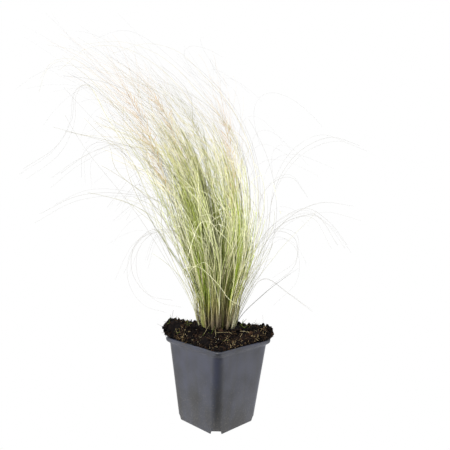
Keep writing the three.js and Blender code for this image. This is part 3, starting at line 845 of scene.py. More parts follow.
def peatBody():
    # one closed skin, from the pot's floor up its inside and over the heaps to the crown's middle
    lowZ, topZ = pot["floor"] + soil["gap"], pot["height"] - soil["overRim"]
    footTop, soft = soil["footTop"], soil["footRounding"]
    heights = [lowZ, lowZ + soft, footTop, *np.linspace(footTop + soil["footBlend"], topZ, soil["wallSteps"])]
    walls = np.stack([soilRing(z) for z in heights])
    walls[0, :, :2] *= 1 - soft / potInner(lowZ)
    centre = np.broadcast_to([0, 0, lowZ], walls[0].shape)
    rim = soilRing(pot["height"])
    rows = np.linspace(0, 7, soil["rings"])[:, None]
    surface = soilSurface(rows, np.broadcast_to(rim, (len(rows), *rim.shape)))
    along = np.roll(surface, -1, axis=1) - np.roll(surface, 1, axis=1)
    outward = unit(np.cross(along, np.gradient(surface, axis=0)))
    rise = np.empty(surface.shape[:2])
    for i in np.ndindex(rise.shape):
        spot = Vector(surface[i])
        clod = 0.5 - noise.voronoi(spot / soil["clodSize"])[0][0]
        grain = 0.5 - noise.voronoi(spot / soil["grainSize"])[0][0]
        wave = noise.noise(spot / soil["clodSize"] * 0.6)
        rise[i] = soil["clodDepth"] * (clod + soil["clodWaves"] * wave) + soil["grainDepth"] * grain
    calm = np.clip(rows / soil["calmRows"], 0, 1)
    surface = surface + outward * (rise * calm)[..., None]
    lowest = pot["height"] + soil["overLip"] * np.clip(rows, 0, 1)
    surface[..., 2] = np.maximum(surface[..., 2], lowest)
    surface[-1] = surface[-1].mean(axis=0)
    grid = np.concatenate([centre[None], walls, surface])
    return skin(grid, soil["mapRows"], kind=soilKinds["peat"], tint=0.5)


def makeSoil():
    random = np.random.default_rng(soil["seed"])
    smallBall, bigBall = ballMesh(1), ballMesh(2)
    parts = [
        peatBody(),
        peatCrumbs(random, soil["crumbs"], soil["crumbRadius"], (1.2, 6.6), smallBall, "crumb", 0.35),
        peatCrumbs(random, soil["clods"], soil["clodRadius"], (1.3, 6.2), bigBall, "crumb", 0.1),
        peatCrumbs(random, soil["grit"], soil["gritRadius"], (3.2, 5.5), smallBall, "grit", 0.9),
        soilThreads(random, "looseFibre", soil["looseFibres"], (1.2, 6.0)),
    ]
    parts += [soilThreads(random, look, count, (1.15, 6.4), patch) for look, count, *patch in soilPatches]
    parts += [laidBlade(*blade) for blade in laidBlades]
    parts += [
        standingCrumbs(random, soilSpikes, smallBall),
        soilThreads(random, "looseStraw", soil["looseStraws"], (3.2, 6.4)),
        soilThreads(random, "looseMoss", soil["looseMosses"], (2.6, 5.8)),
    ]
    piece = buildMesh("soil_peat", parts, moistPeat())
    putOnFrame(piece, "soil")


print("soil")
makeSoil()


# clump: every leaf follows one flow from its foot, which fans out low down and bends over higher up

clump = {
    "places": 42,
    "flowersInRun": (2, 5),  # of each run of seven places
    "run": 7,
    "cell": 0.118,  # what a tuft fills, as a share of the clump's radius
    "seed": 400,
    "soilLevel": 14 * mm,  # distance from the feet up to the soil
    "sheathTop": 40 * mm,
    "opening": 150 * mm,  # stretch over which a tuft opens out
    "gathering": 42 * mm,  # stretch over which its leaves draw in towards the clump's middle
    "waveLength": 170 * mm,
    "wavePace": (0.3, 0.8),  # least and spread of the waves in one wave length
    "ownLean": 0.03,  # of a strand that runs beside others
    "parting": (0.09, 0.13),  # side and half width
    "partingFrom": 80 * mm,
    "partingRise": 70 * mm,
    "partingStrength": 1.5,
    "depthAtFeet": 17 * mm,
    "depthGrowth": 60 * mm,
    "depthOver": 140 * mm,
    "strayKnots": 8,  # a stray strand's knots up to where it leaves the clump
    "worthHaving": 0.35,  # least share of a trimmed strand that is left
}

# distance along the leaves, then side and height of the clump's left edge, middle and right edge, in mm
clumpLevels = [
    (0, (-18, 94), (0, 94), (17, 94)),
    (14, (-24, 108), (0, 108), (22, 108)),
    (40, (-33.3, 132), (0, 134), (31.5, 132)),
    (100, (-61, 187), (0, 194), (55, 189)),
    (160, (-84, 241), (-7, 252), (65, 248)),
    (220, (-109, 293), (-23, 308), (58, 307)),
    (275, (-137, 340), (-50, 356), (36, 357)),
    (325, (-168, 381), (-88, 392), (4, 394)),
    (365, (-194, 407), (-122, 413), (-34, 416)),
    (400, (-215, 424), (-153, 427), (-70, 432)),
]
levelAlong = np.array([level[0] for level in clumpLevels]) * mm
levelPoints = np.array([sum(level[1:], ()) for level in clumpLevels]) * mm

# single blades that arch out of the clump: the tuft's place, where it leaves the clump, and its
# route as side, depth and height, in mm
strayLeaves = [
    (25, 160, [(-112, -24, 258), (-158, -34, 253), (-192, -46, 233)]),
    (22, 160, [(-80, 32, 258), (-108, 33, 248), (-134, 35, 227)]),
    (38, 100, [(-76, -10, 219), (-97, -14, 201), (-99, -16, 170), (-78, -20, 145), (-52, -24, 141)]),
    (38, 220, [(-122, -6, 311), (-146, -2, 317), (-163, 4, 305), (-166, 10, 277)]),
    (25, 220, [(-110, -27, 312), (-147, -33, 299), (-174, -38, 277)]),
    (38, 325, [(-170, -6, 376), (-173, -6, 345), (-188, -6, 314), (-228, -6, 284)]),
    (34, 14, [(50, -8, 147), (84, -14, 176)]),
    (34, 40, [(52, -12, 166), (76, -20, 152), (102, -28, 134)]),
    (34, 100, [(79, -12, 238), (112, -17, 254), (147, -22, 251)]),
    (34, 160, [(68, -3, 286), (94, 6, 318), (130, 14, 334), (165, 20, 326)]),
    (21, 100, [(72, 9, 236), (103, 12, 248), (128, 10, 233), (150, 8, 206)]),
    (29, 100, [(72, 24, 220), (90, 26, 212), (92, 25, 180), (62, 24, 152)]),
    (39, 100, [(66, -52, 230), (94, -76, 238), (112, -94, 210)]),
    (28, 160, [(-44, -78, 276), (-76, -106, 276), (-102, -126, 240)]),
    (41, 100, [(-52, -64, 220), (-76, -84, 214), (-92, -98, 178)]),
    (22, 100, [(-62, 46, 214), (-84, 62, 206), (-96, 72, 176)]),
    (35, 160, [(-80, 66, 272), (-116, 92, 276), (-146, 110, 248)]),
    (27, 100, [(-36, 68, 224), (-62, 98, 230), (-86, 118, 202)]),
    (32, 160, [(-4, 90, 284), (-14, 120, 292), (-22, 148, 266)]),
    (24, 100, [(38, 66, 226), (52, 96, 232), (62, 120, 204)]),
    (29, 160, [(66, 52, 282), (94, 78, 290), (120, 96, 264)]),
]
strayAwns = [
    (30, 325, [(-174, 12, 406), (-194, 8, 413), (-207, 4, 401), (-214, 0, 374)]),
    (33, 325, [(-160, -46, 397), (-178, -52, 393), (-191, -57, 372)]),
    (9, 325, [(-152, 16, 414), (-184, 20, 431), (-216, 24, 437)]),
    (40, 325, [(-126, 74, 408), (-154, 82, 413), (-180, 90, 395)]),
    (23, 325, [(-102, -62, 404), (-134, -72, 401), (-162, -82, 374)]),
    (37, 325, [(-58, 44, 418), (-90, 38, 438), (-130, 32, 447), (-172, 26, 440)]),
    (26, 325, [(-50, -30, 413), (-82, -38, 419), (-120, -46, 404)]),
]

# pale blades that curl across the front of the clump, written in the same way
frontCurls = [
    (31, 160, [(32, -82, 274), (42, -114, 272), (50, -140, 238)]),
    (36, 100, [(-8, -76, 226), (-20, -106, 228), (-30, -132, 196)]),
    (25, 40, [(-35, -44, 172), (-29, -47, 180), (-17, -48, 186), (-7, -48, 176)]),
    (25, 40, [(-35, -46, 180), (-23, -47, 181), (-12, -48, 173), (0, -48, 161), (10, -49, 148),
              (21, -50, 142)]),
    (28, 100, [(-29, -60, 227), (-15, -60, 237), (-4, -60, 230), (2, -60, 217)]),
    (28, 100, [(-11, -62, 229), (-5, -62, 234), (1, -62, 236), (7, -62, 235), (11, -62, 226),
               (12, -62, 216)]),
    (36, 40, [(-15, -55, 200), (-11, -64, 216), (-8, -64, 225), (-3, -64, 227), (6, -64, 222),
              (8, -64, 214)]),
    (41, 160, [(-47, -66, 263), (-35, -66, 264), (-23, -65, 261), (-11, -64, 254), (-4, -63, 242),
               (1, -62, 228)]),
    (41, 100, [(-44, -59, 224), (-36, -58, 221), (-23, -57, 213), (-14, -56, 211)]),
]


def depthAt(along):
    return clump["depthAtFeet"] + clump["depthGrowth"] * np.tanh(along / clump["depthOver"])


def flow(along, side, depth):
    # the point at a distance along the flow, for a place in the clump's round plan
    table = throughKnots(levelAlong, levelPoints, along)
    edge = np.where((side < 0)[..., None], table[..., 0:2], table[..., 4:6])
    flat = table[..., 2:4] + (edge - table[..., 2:4]) * np.abs(side)[..., None]
    return np.stack([flat[..., 0], depth * depthAt(along), flat[..., 1]], axis=-1)


def spiralSpots(count, reach, turn=0.0):
    # evenly spread over a disc
    number = np.arange(count)
    return polar(reach * np.sqrt((number + 0.5) / count), number * goldenAngle + turn)


def roundSpots(random, count, reach, least=0.0):
    # random over a disc, or over a ring that starts at the least share of its reach
    radius = reach * np.sqrt(least**2 + (1 - least**2) * random.random(count))
    return polar(radius, 2 * np.pi * random.random(count))


places = spiralSpots(clump["places"], 1 - clump["cell"] * 0.6)
allowed = 0.02 * (cadBox[1] - cadBox[0])
lowest, highest = np.array(cadBox[0] - allowed), np.array(cadBox[1] + allowed)


def strands(points, radii, sides, kept=None, **values):
    # tubes along strands in side, depth and height, or along the kept ones alone
    if kept is not None:
        shape = points.shape[:2]
        values = {name: np.broadcast_to(value, shape)[kept] for name, value in values.items()}
        points, radii = points[kept], np.broadcast_to(radii, shape)[kept]
    return tubes(turned(points), radii, sides, **values)


def inBox(points):
    # which strands stay inside the solids' own box, with a little allowed past it
    placed = turned(points)
    return np.all((placed > lowest) & (placed < highest), axis=(1, 2))


def trimmed(points):
    # strands cut short where they would leave that box, and which of them are still worth having
    placed = turned(points)
    outside = np.any((placed < lowest) | (placed > highest), axis=2)
    count, steps = outside.shape
    first = np.where(outside.any(axis=1), outside.argmax(axis=1), steps)
    uneven = 0.8 + 0.2 * np.sin(7.7 * np.arange(count)) ** 2  # so that they don't all end at its wall
    share = (first - 1).clip(0) / (steps - 1) * np.where(first < steps, uneven, 1)
    at = np.linspace(0, 1, steps)[None, :] * share[:, None] * (steps - 1)
    low = at.astype(int).clip(0, steps - 2)
    row = np.arange(count)[:, None]
    part = (at - low)[..., None]
    return points[row, low] * (1 - part) + points[row, low + 1] * part, share > clump["worthHaving"]


def parted(along, side):
    # the clump is thin along one line in its upper half, from which the strands lean away
    middle, halfWidth = clump["parting"]
    away = (side - middle) / halfWidth
    strength = clump["partingStrength"] * smoothStep(along, clump["partingFrom"], clump["partingRise"])
    return side + strength * halfWidth * away * np.exp(-away**2)


def followers(random, place, roots, spots, start, end, steps, wander, gather=1.0, drift=0.0, together=1):
    # strands that grow from their roots, spread to their spots and stray a little on the way;
    # gather below 1 draws their spots in towards the clump's middle, drift lets each one lean
    # away from its neighbours, and together is how many run side by side up to their tips
    groups = len(roots) // together
    wander = np.broadcast_to(wander, len(roots))
    share = np.linspace(0, 1, steps)[None, :]
    along = start + (end - start)[:, None] * share
    rise = along - clump["soilLevel"]
    opened = smoothStep(rise, 0, clump["opening"])[..., None]
    gathered = smoothStep(rise, 0, clump["gathering"])[..., None]
    drawnIn = place * (np.reshape(gather, (-1, 1, 1)) - 1) * gathered
    offset = roots[:, None] * (1 - opened) + spots[:, None] * opened + drawnIn
    phase = np.repeat(2 * np.pi * random.random((groups, 1, 2)), together, axis=0)
    slowest, faster = clump["wavePace"]
    pace = np.repeat(slowest + faster * random.random((groups, 1, 2)), together, axis=0)
    waves = pace * along[..., None] / clump["waveLength"]
    reach = wander[:, None, None] * (along[..., None] / levelAlong[-1]) ** 0.9
    offset = offset + reach * (np.sin(phase + 2 * np.pi * waves) - np.sin(phase) * (1 - share[..., None]))
    lean = np.repeat(drift * random.normal(size=(groups, 1, 2)), together, axis=0)
    if together > 1:
        lean = lean + clump["ownLean"] * random.normal(size=(len(roots), 1, 2))
    offset = offset + lean * (rise / levelAlong[-1])[..., None]
    return flow(along, parted(along, place[0] + offset[..., 0]), place[1] + offset[..., 1]), along


def strayStrand(place, outward, leave, route, steps, start):
    # follows the clump up to where it leaves, then runs smoothly through its own route
    knotCount = clump["strayKnots"]
    followed = np.linspace(start, leave, knotCount)
    side, depth = np.full(knotCount, place[0] + outward[0]), np.full(knotCount, place[1] + outward[1])
    knots = np.concatenate([flow(followed, side, depth), route])
    travelled = np.concatenate([[0], np.cumsum(np.linalg.norm(np.diff(knots, axis=0), axis=1))])
    return throughKnots(travelled, knots, np.linspace(0, travelled[-1], steps))


# leaves: thread-fine, rolled blades; the ones that start a tiller have a broad sheath at the foot

leaf = {
    "perTuft": 21,
    "together": 3,  # blades of one tiller run side by side
    "beside": 0.45 * mm,
    "rootDepth": 4 * mm,  # under the soil's surface
    "rootRing": 1.56 * mm,  # round a tuft's middle, where stray blades and a stalk's sheaths start
    "steps": 20,
    "radius": (0.18 * mm, 0.42 * mm),
    "tipShare": 0.25,
    "lengthSpread": 56 * mm,
    "shortest": 70 * mm,
    "longest": 380 * mm,
    "longShare": 0.06,
    "longLength": (240 * mm, 380 * mm),
    "spread": 2.1,  # of the tuft's cell
    "gather": (0.55, 0.95),  # how far most leaves draw in towards the clump's middle
    "rightGather": 0.86,  # what that is multiplied by on the clump's right
    "looseShare": (0.1, 0.08),  # the rest, which keep to the outside, on the clump's left and right
    "looseGather": (1.07, 1.18),  # the most that they do
    "looseLength": (195 * mm, 160 * mm),
    "wander": 0.12,
    "drift": 0.26,
    "nodFrom": 0.55,  # share of a blade from which its tip nods
    "nodLength": 0.45,
    "nodWay": (0.55, -0.6),  # outwards and up
    "nodLeft": 60 * mm,  # how much the clump's bend turns the nods its way
    "nodSpread": 45 * mm,
    "looseKept": 0.7,  # share of the blades of a loose group that are as long as loose ones
    "thinnerAtEdge": 0.2,
    "boldPerTuft": 12,
    "boldSteps": 28,
    "boldRadius": (0.32 * mm, 0.46 * mm),
    "boldLength": (90 * mm, 300 * mm),
    "boldSpread": 3.2,
    "boldGather": (0.6, 0.9),
    "sheaths": 16,
    "sheathDepth": 9 * mm,
    "sheathEnd": (22 * mm, 70 * mm),
    "sheathFrom": 0.7,  # of the soil's level
    "sheathSpread": 1.6,
    "sheathReach": (0.75, 1.2),  # of the tuft's leaf length
    "sheathGather": (0.7, 0.8),  # on the clump's left and right
    "sheathThinning": (0.55, 200 * mm),  # share that its blade loses, and over what length
    "sheathRadius": (0.26 * mm, 0.5 * mm),
    "sheathLeafRadius": 0.34 * mm,
    "sheathSteps": 26,
    "strayRadius": 0.2 * mm,
    "strayTipRadius": 0.06 * mm,
    "straySteps": 44,
    # a stray blade's values in the clump, and what is added outside it
    "strayLook": {"rise": (0.3, 0.6), "dry": 0.9, "tone": (0.6, -0.2)},
    "lowStray": 30,  # a stray blade that leaves lower than this, in mm, is the lowest one
    "lowStrayTone": (0.6, -0.55),
    "highStray": 300,
    "companions": 2,  # finer blades beside each stray one
    "companionRadius": 0.6,
    "companionDrift": 9 * mm,
    "curlRadius": 0.26 * mm,
    "curlLook": {"rise": 0.3, "dry": 0.85, "tone": 1.0},
    "fineLong": (2, 1),  # dull blades beside the clump's edges, on its left and right
    "fineLongLength": (210 * mm, 340 * mm),
    "fineLongRadius": (0.15 * mm, 0.07 * mm),  # at its foot and tip
    "fineLongSteps": 28,
    "fineLongSpread": 1.5,
    "fineLongPale": (0.25, 0.65, 170 * mm),  # rise at its foot, what is added, and over what length
    "fineLongLook": {"dry": 0.6, "tone": 0.4},
    "wisps": 3,
    "wispRadius": 0.06 * mm,
    "wispFrom": (90 * mm, 320 * mm),  # where they leave the clump
    "wispLength": (70 * mm, 160 * mm),
    "wispSteps": 26,
    "wispLook": {"rise": 0.95, "dry": 0.9, "tone": 0.4},
    "rightFrom": 0.3,  # places past these count as the clump's right and left edge
    "leftFrom": -0.5,  # and those to the left of this its left edge
    "outsideFrom": 0.55,
}

rootSpread = leaf["rootRing"] / depthAt(clump["sheathTop"])
footSpread = 0.1  # what the tillers of one tuft fill at the soil, as a share of the clump's radius
footStart = clump["soilLevel"] - leaf["rootDepth"]
sheathStart = clump["soilLevel"] - leaf["sheathDepth"]

# how many of its leaves a tuft has, and how far up the flow they reach in mm, by their side of
# the clump from left to right
fullness = np.array([
    (-0.95, 0.26), (-0.6, 0.9), (-0.25, 1.3), (0.1, 1.0), (0.28, 1.1), (0.42, 0.52), (0.52, 0.32),
    (0.95, 0.18),
])
leafLength = np.array([
    (-0.9, 180), (-0.7, 208), (-0.4, 234), (-0.2, 206), (-0.02, 208), (0.07, 198), (0.18, 216), (0.32, 224),
    (0.42, 178), (0.6, 128), (0.95, 130),
])


def drooped(random, points, along, amount):
    # tips nod outwards and down under their own weight
    share = np.linspace(0, 1, points.shape[1])[None, :]
    nod = np.clip((share - leaf["nodFrom"]) / (1 - leaf["nodFrom"]), 0, 1) ** 2
    outward = points[:, -1] * [1, 1, 0] + [-leaf["nodLeft"], 0, 0]
    outward = unit(outward + leaf["nodSpread"] * random.normal(size=outward.shape) * [1, 1, 0])
    length = (along[:, -1:] - along[:, :1]) * leaf["nodLength"]
    out, up = leaf["nodWay"]
    shift = outward[:, None] * out + [0, 0, up]
    return points + (amount[:, None] * nod * length)[..., None] * shift


# how the blades' values vary; a stretch is where a change starts and over how much it runs
bladeLook = {
    "tone": (0.48, 0.54),  # most blades are dark or light, and few are between
    "dry": (0.8, 0.9),
    "dryByTone": (0.35, 0.8),
    "ownTone": 0.06,
    "bleached": 0.1,
    "bleachStretch": (0.4, 0.3),
    "edge": (0.6, 0.45),  # from what side on the clump's left and right are duller
    "edgeWidth": 0.35,
    "edgeStretch": (0.16, 0.14),
    "edgeRise": (0.9, 0.25),  # the rise that the edges' blades look like, and how much they do
    "edgeDarker": 0.35,
    "heartShade": (0.02, 0.22),  # middle and width of the clump's heart, where painted shade makes blades darker and greener
    "heartShadeStretch": (0.12, 0.1),
    "heartShadeEnd": (0.62, 0.15),
    "heartShadeGreener": 0.7,
    "heartShadeDarker": 0.3,
}


def leafValues(random, along, side, together=1):
    # rise is the height along the flow from 0 to 1, dry runs from fresh green to straw, tone is
    # how light a blade is beside its neighbours; dark blades are green, the blades at the clump's sides are
    # duller, those in its middle get painted shade that makes them darker and greener, and all bleach a
    # little higher up
    groups = len(along) // together
    rise = along / levelAlong[-1]
    edge = np.where(side > 0, bladeLook["edge"][1], bladeLook["edge"][0])
    outer = smoothStep(np.abs(side), edge, bladeLook["edgeWidth"])[:, None]
    outer = outer * smoothStep(rise, *bladeLook["edgeStretch"])
    # painted shade: blades in the clump's heart, at middle heights, are made darker and greener, as shade
    # among the strands
    middle, width = bladeLook["heartShade"]
    heartShade = np.exp(-(((side - middle) / width) ** 2))[:, None]
    end, fade = bladeLook["heartShadeEnd"]
    heartShade = heartShade * smoothStep(rise, *bladeLook["heartShadeStretch"]) * smoothStep((end - rise) / fade)
    tone = np.repeat(random.beta(*bladeLook["tone"], groups), together)
    least, byTone = bladeLook["dryByTone"]
    dry = np.repeat(random.beta(*bladeLook["dry"], groups), together) * (least + byTone * tone)
    tone = np.clip(tone + bladeLook["ownTone"] * random.normal(size=len(along)), 0, 1)[:, None]
    tone = tone + (1 - tone) * bladeLook["bleached"] * smoothStep(rise, *bladeLook["bleachStretch"])
    edgeRise, share = bladeLook["edgeRise"]
    return {
        "rise": rise + (edgeRise - rise) * share * outer,
        "dry": np.clip(dry, 0, 1)[:, None] * (1 - bladeLook["heartShadeGreener"] * heartShade),
        "tone": tone * (1 - bladeLook["edgeDarker"] * outer) * (1 - bladeLook["heartShadeDarker"] * heartShade),
    }


def fineBlades(random, place):
    # the many thread-fine blades, most of them drawn in and a few loose on the clump's outside
    isRight = int(place[0] > leaf["rightFrom"])
    together = leaf["together"]
    groups = int(leaf["perTuft"] / together * np.interp(place[0], *fullness.T))
    count = groups * together
    roots = np.repeat(roundSpots(random, groups, footSpread), together, axis=0)
    roots = roots + leaf["beside"] / clump["depthAtFeet"] * random.normal(size=roots.shape)
    spots = np.repeat(roundSpots(random, groups, clump["cell"] * leaf["spread"]), together, axis=0)
    isLoose = random.random(groups) < leaf["looseShare"][isRight] * (0.4 + np.linalg.norm(place))
    gather = random.uniform(*leaf["gather"], groups) * (leaf["rightGather"] if place[0] > 0 else 1.0)
    gather = np.where(isLoose, random.uniform(1.0, leaf["looseGather"][isRight], groups), gather)
    gather = np.repeat(gather, together)
    isLoose = np.repeat(isLoose, together) & (random.random(count) < leaf["looseKept"])
    side = place[0] * gather + spots[:, 0]
    end = np.where(isLoose, leaf["looseLength"][isRight], np.interp(side, *leafLength.T) * mm)
    end = end + leaf["lengthSpread"] * random.normal(size=count)
    end = end.clip(leaf["shortest"], leaf["longest"])
    spots = spots + leaf["beside"] / depthAt(levelAlong[-1]) * random.normal(size=spots.shape)
    isLong = (random.random(count) < leaf["longShare"]) & (side < 0.45)
    end = np.where(isLong, random.uniform(*leaf["longLength"], count), end)
    wander = leaf["wander"] * (0.4 + random.random(count))
    wander = np.repeat(wander[::together], together)
    points, along = followers(random, place, roots, spots, footStart, end, leaf["steps"], wander, gather,
                              leaf["drift"], together)
    points = drooped(random, points, along, 0.03 + 0.3 * random.random(count) ** 2)
    side = place[0] * gather + spots[:, 0]
    radii = random.uniform(*leaf["radius"], count)[:, None] * np.linspace(1, leaf["tipShare"], leaf["steps"])
    radii = radii * (1 - leaf["thinnerAtEdge"] * smoothStep(np.abs(side), 0.5, 0.35))[:, None]
    return strands(points, radii, 3, inBox(points), **leafValues(random, along, side, together))


def boldBlades(random, place):
    # broader, dry and bright blades that stand out among the fine ones
    count, steps = leaf["boldPerTuft"], leaf["boldSteps"]
    spots = roundSpots(random, count, clump["cell"] * leaf["boldSpread"])
    side = place[0] * np.mean(leaf["boldGather"]) + spots[:, 0]
    end = np.interp(side, *leafLength.T) * mm + leaf["lengthSpread"] * random.normal(size=count)
    end = end.clip(*leaf["boldLength"])
    roots = roundSpots(random, count, footSpread)
    gather = random.uniform(*leaf["boldGather"], count)
    points, along = followers(random, place, roots, spots, footStart, end, steps, leaf["wander"] * 3, gather,
                              leaf["drift"])
    points = drooped(random, points, along, 0.1 + 0.5 * random.random(count))
    radii = random.uniform(*leaf["boldRadius"], count)[:, None] * np.linspace(1, 0.3, steps)
    outer = smoothStep(np.abs(side), 0.35, 0.3)[:, None]
    rise = along / levelAlong[-1]
    dry = random.beta(2.2, 0.8, (count, 1))
    tone = random.uniform(0.85, 1, (count, 1)) * (1 - 0.5 * outer)
    rise = rise + (0.85 - rise) * 0.3 * outer
    return strands(points, radii, 4, inBox(points), rise=rise, dry=dry, tone=tone)


def leafSheaths(random, index):
    # each sheath narrows to a blade, and the sheaths of one tuft look a little alike
    place = places[index]
    count = round(leaf["sheaths"] * min(1, np.interp(place[0], *fullness.T)))
    roots = spiralSpots(count, footSpread, index)
    spots = roundSpots(random, count, clump["cell"] * leaf["sheathSpread"])
    end = np.interp(place[0], *leafLength.T) * random.uniform(*leaf["sheathReach"], count) * mm
    points, along = followers(random, place, roots, spots, sheathStart, end, leaf["sheathSteps"],
                              leaf["wander"] * 0.5, leaf["sheathGather"][int(place[0] >= 0)])
    sheathEnd = random.uniform(*leaf["sheathEnd"], count)[:, None]
    closing = smoothStep(along, clump["soilLevel"] * leaf["sheathFrom"], sheathEnd)
    broad = random.uniform(*leaf["sheathRadius"], count)[:, None]
    radii = broad * (1 - closing) + leaf["sheathLeafRadius"] * closing
    thinning, over = leaf["sheathThinning"]
    radii = radii * (1 - thinning * smoothStep(along, sheathEnd, over))
    tone = np.clip(random.uniform(0.3, 0.7) + 0.45 * random.normal(size=(count, 1)), 0, 1)
    dry = np.clip(random.uniform(0.1, 0.6) + 0.25 * random.normal(size=(count, 1)), 0, 1)
    return strands(points, radii, 5, rise=along / levelAlong[-1], dry=dry, tone=tone)


def strayBlades(random, place, leave, route):
    # a blade that arches out of the clump, with finer companions
    outward = place / max(np.linalg.norm(place), 1e-6) * rootSpread * 0.9
    steps = leaf["straySteps"]
    drifts = [np.zeros((len(route), 3))]
    for _ in range(leaf["companions"]):
        drifts.append(np.linspace([0.3], [1], len(route)) * random.normal(size=3) * leaf["companionDrift"])
    family = np.stack([
        strayStrand(place, outward, leave * mm, np.array(route) * mm + drift, steps, sheathStart)
        for drift in drifts
    ])
    family = family[inBox(family)]
    reach = np.linspace(0, 1, steps)[None, :].repeat(len(family), 0)
    radii = leaf["strayRadius"] + (leaf["strayTipRadius"] - leaf["strayRadius"]) * reach
    radii[1:] *= leaf["companionRadius"]
    # greyer and darker once it has left the clump, which the lowest one does at its foot, while
    # the highest one runs along the clump's edge and then hangs down
    isLow, isHigh = leave < leaf["lowStray"], leave > leaf["highStray"]
    free = smoothStep((reach - 0.62) / 0.15 if isHigh else reach * (9 if isLow else 2))
    if isLow:
        radii[0] = leaf["strayRadius"] * (2 - 1.7 * smoothStep(reach[0], 0.3, 0.7))
    if isHigh:
        radii[0] = leaf["strayRadius"] * (1.5 - 1.15 * free[0])
    look = leaf["strayLook"]
    rise, risen = look["rise"]
    tone, toned = leaf["lowStrayTone"] if isLow else look["tone"]
    return strands(family, radii, 4, rise=rise + risen * free, dry=look["dry"], tone=tone + toned * free)


def frontCurl(place, leave, route):
    steps = leaf["straySteps"]
    strand = strayStrand(place, (0, 0), leave * mm, np.array(route) * mm, steps, sheathStart)
    radii = leaf["curlRadius"] * np.linspace(1, 0.6, steps)
    return strands(strand[None], radii[None], 4, **leaf["curlLook"])


def edgeBlades(random, place):
    # a few fine, dull blades stand beside the clump's edges
    isRight = int(place[0] > leaf["rightFrom"])
    count, steps = leaf["fineLong"][isRight], leaf["fineLongSteps"]
    roots = roundSpots(random, count, footSpread)
    spots = roundSpots(random, count, clump["cell"] * leaf["fineLongSpread"])
    end = random.uniform(*leaf["fineLongLength"], count)
    gather = random.uniform(0.95, leaf["looseGather"][isRight], count)
    points, along = followers(random, place, roots, spots, clump["soilLevel"], end, steps, leaf["wander"],
                              gather, leaf["drift"])
    points, kept = trimmed(points)
    atFoot, added, over = leaf["fineLongPale"]
    pale = atFoot + added * smoothStep(along, 0, over)
    radii = np.linspace(*leaf["fineLongRadius"], steps)
    return strands(points, radii, 3, kept, rise=pale, **leaf["fineLongLook"])


def leafWisps(random, place):
    # fine blades that leave the clump's outside and arch over in curves of their own
    count, steps = leaf["wisps"], leaf["wispSteps"]
    outer = place / max(np.linalg.norm(place), 1e-6)
    leave = random.uniform(*leaf["wispFrom"], count)
    side = place[0] + outer[0] * clump["cell"] * random.random(count)
    depth = place[1] + outer[1] * clump["cell"] * random.random(count)
    start = flow(leave, side, depth)
    heading = unit(start - flow(leave - 4 * mm, side, depth))
    angle = np.arctan2(outer[1], outer[0]) + 0.7 * random.normal(size=count)
    out = np.stack([np.cos(angle), np.sin(angle), np.zeros(count)], axis=-1)
    stride = random.uniform(*leaf["wispLength"], count)[:, None] / (steps - 1)
    fall = 0.3 + 1.0 * random.random(count)
    points = [start]
    for step in np.linspace(0, 1, steps)[1:]:
        turn = smoothStep(step * 1.2)
        down = np.sin(fall * step)[:, None] * [0, 0, -1]
        wanted = out * np.cos(fall * step)[:, None] + down
        points.append(points[-1] + unit(heading * (1 - turn) + wanted * turn) * stride)
    points, kept = trimmed(np.stack(points, axis=1))
    radii = leaf["wispRadius"] * np.linspace(1, 0.4, steps)
    return [strands(points, radii, 3, kept, **leaf["wispLook"])] if kept.any() else []


def makeLeafTuft(index, name, node, material):
    random = np.random.default_rng(clump["seed"] + index)
    place = places[index]
    parts = [fineBlades(random, place), boldBlades(random, place), leafSheaths(random, index)]
    parts += [strayBlades(random, place, leave, route) for at, leave, route in strayLeaves if at == index]
    parts += [frontCurl(place, leave, route) for at, leave, route in frontCurls if at == index]
    if place[0] > leaf["rightFrom"] or place[0] < leaf["leftFrom"]:
        parts.append(edgeBlades(random, place))
    if np.linalg.norm(place) > leaf["outsideFrom"]:
        parts += leafWisps(random, place)
    piece = buildMesh(name, parts, material)
    putOnFrame(piece, node)


def mottled(tree, colour, patch):
    # grass is never evenly light, so its colour varies in patches of this size
    place = addNode(tree, "ShaderNodeTexCoord").outputs["Object"]
    mottle = addNode(tree, "ShaderNodeTexNoise", inputs={"Scale": 1 / patch, "Detail": 2.0},
                     links={"Vector": place})
    shade = addNode(tree, "ShaderNodeMapRange", links={"Value": mottle},
                    inputs={"From Min": 0.3, "From Max": 0.7, "To Min": 0.84, "To Max": 1.1})
    return addNode(tree, "ShaderNodeVectorMath", operation="SCALE", links={0: colour, "Scale": shade})


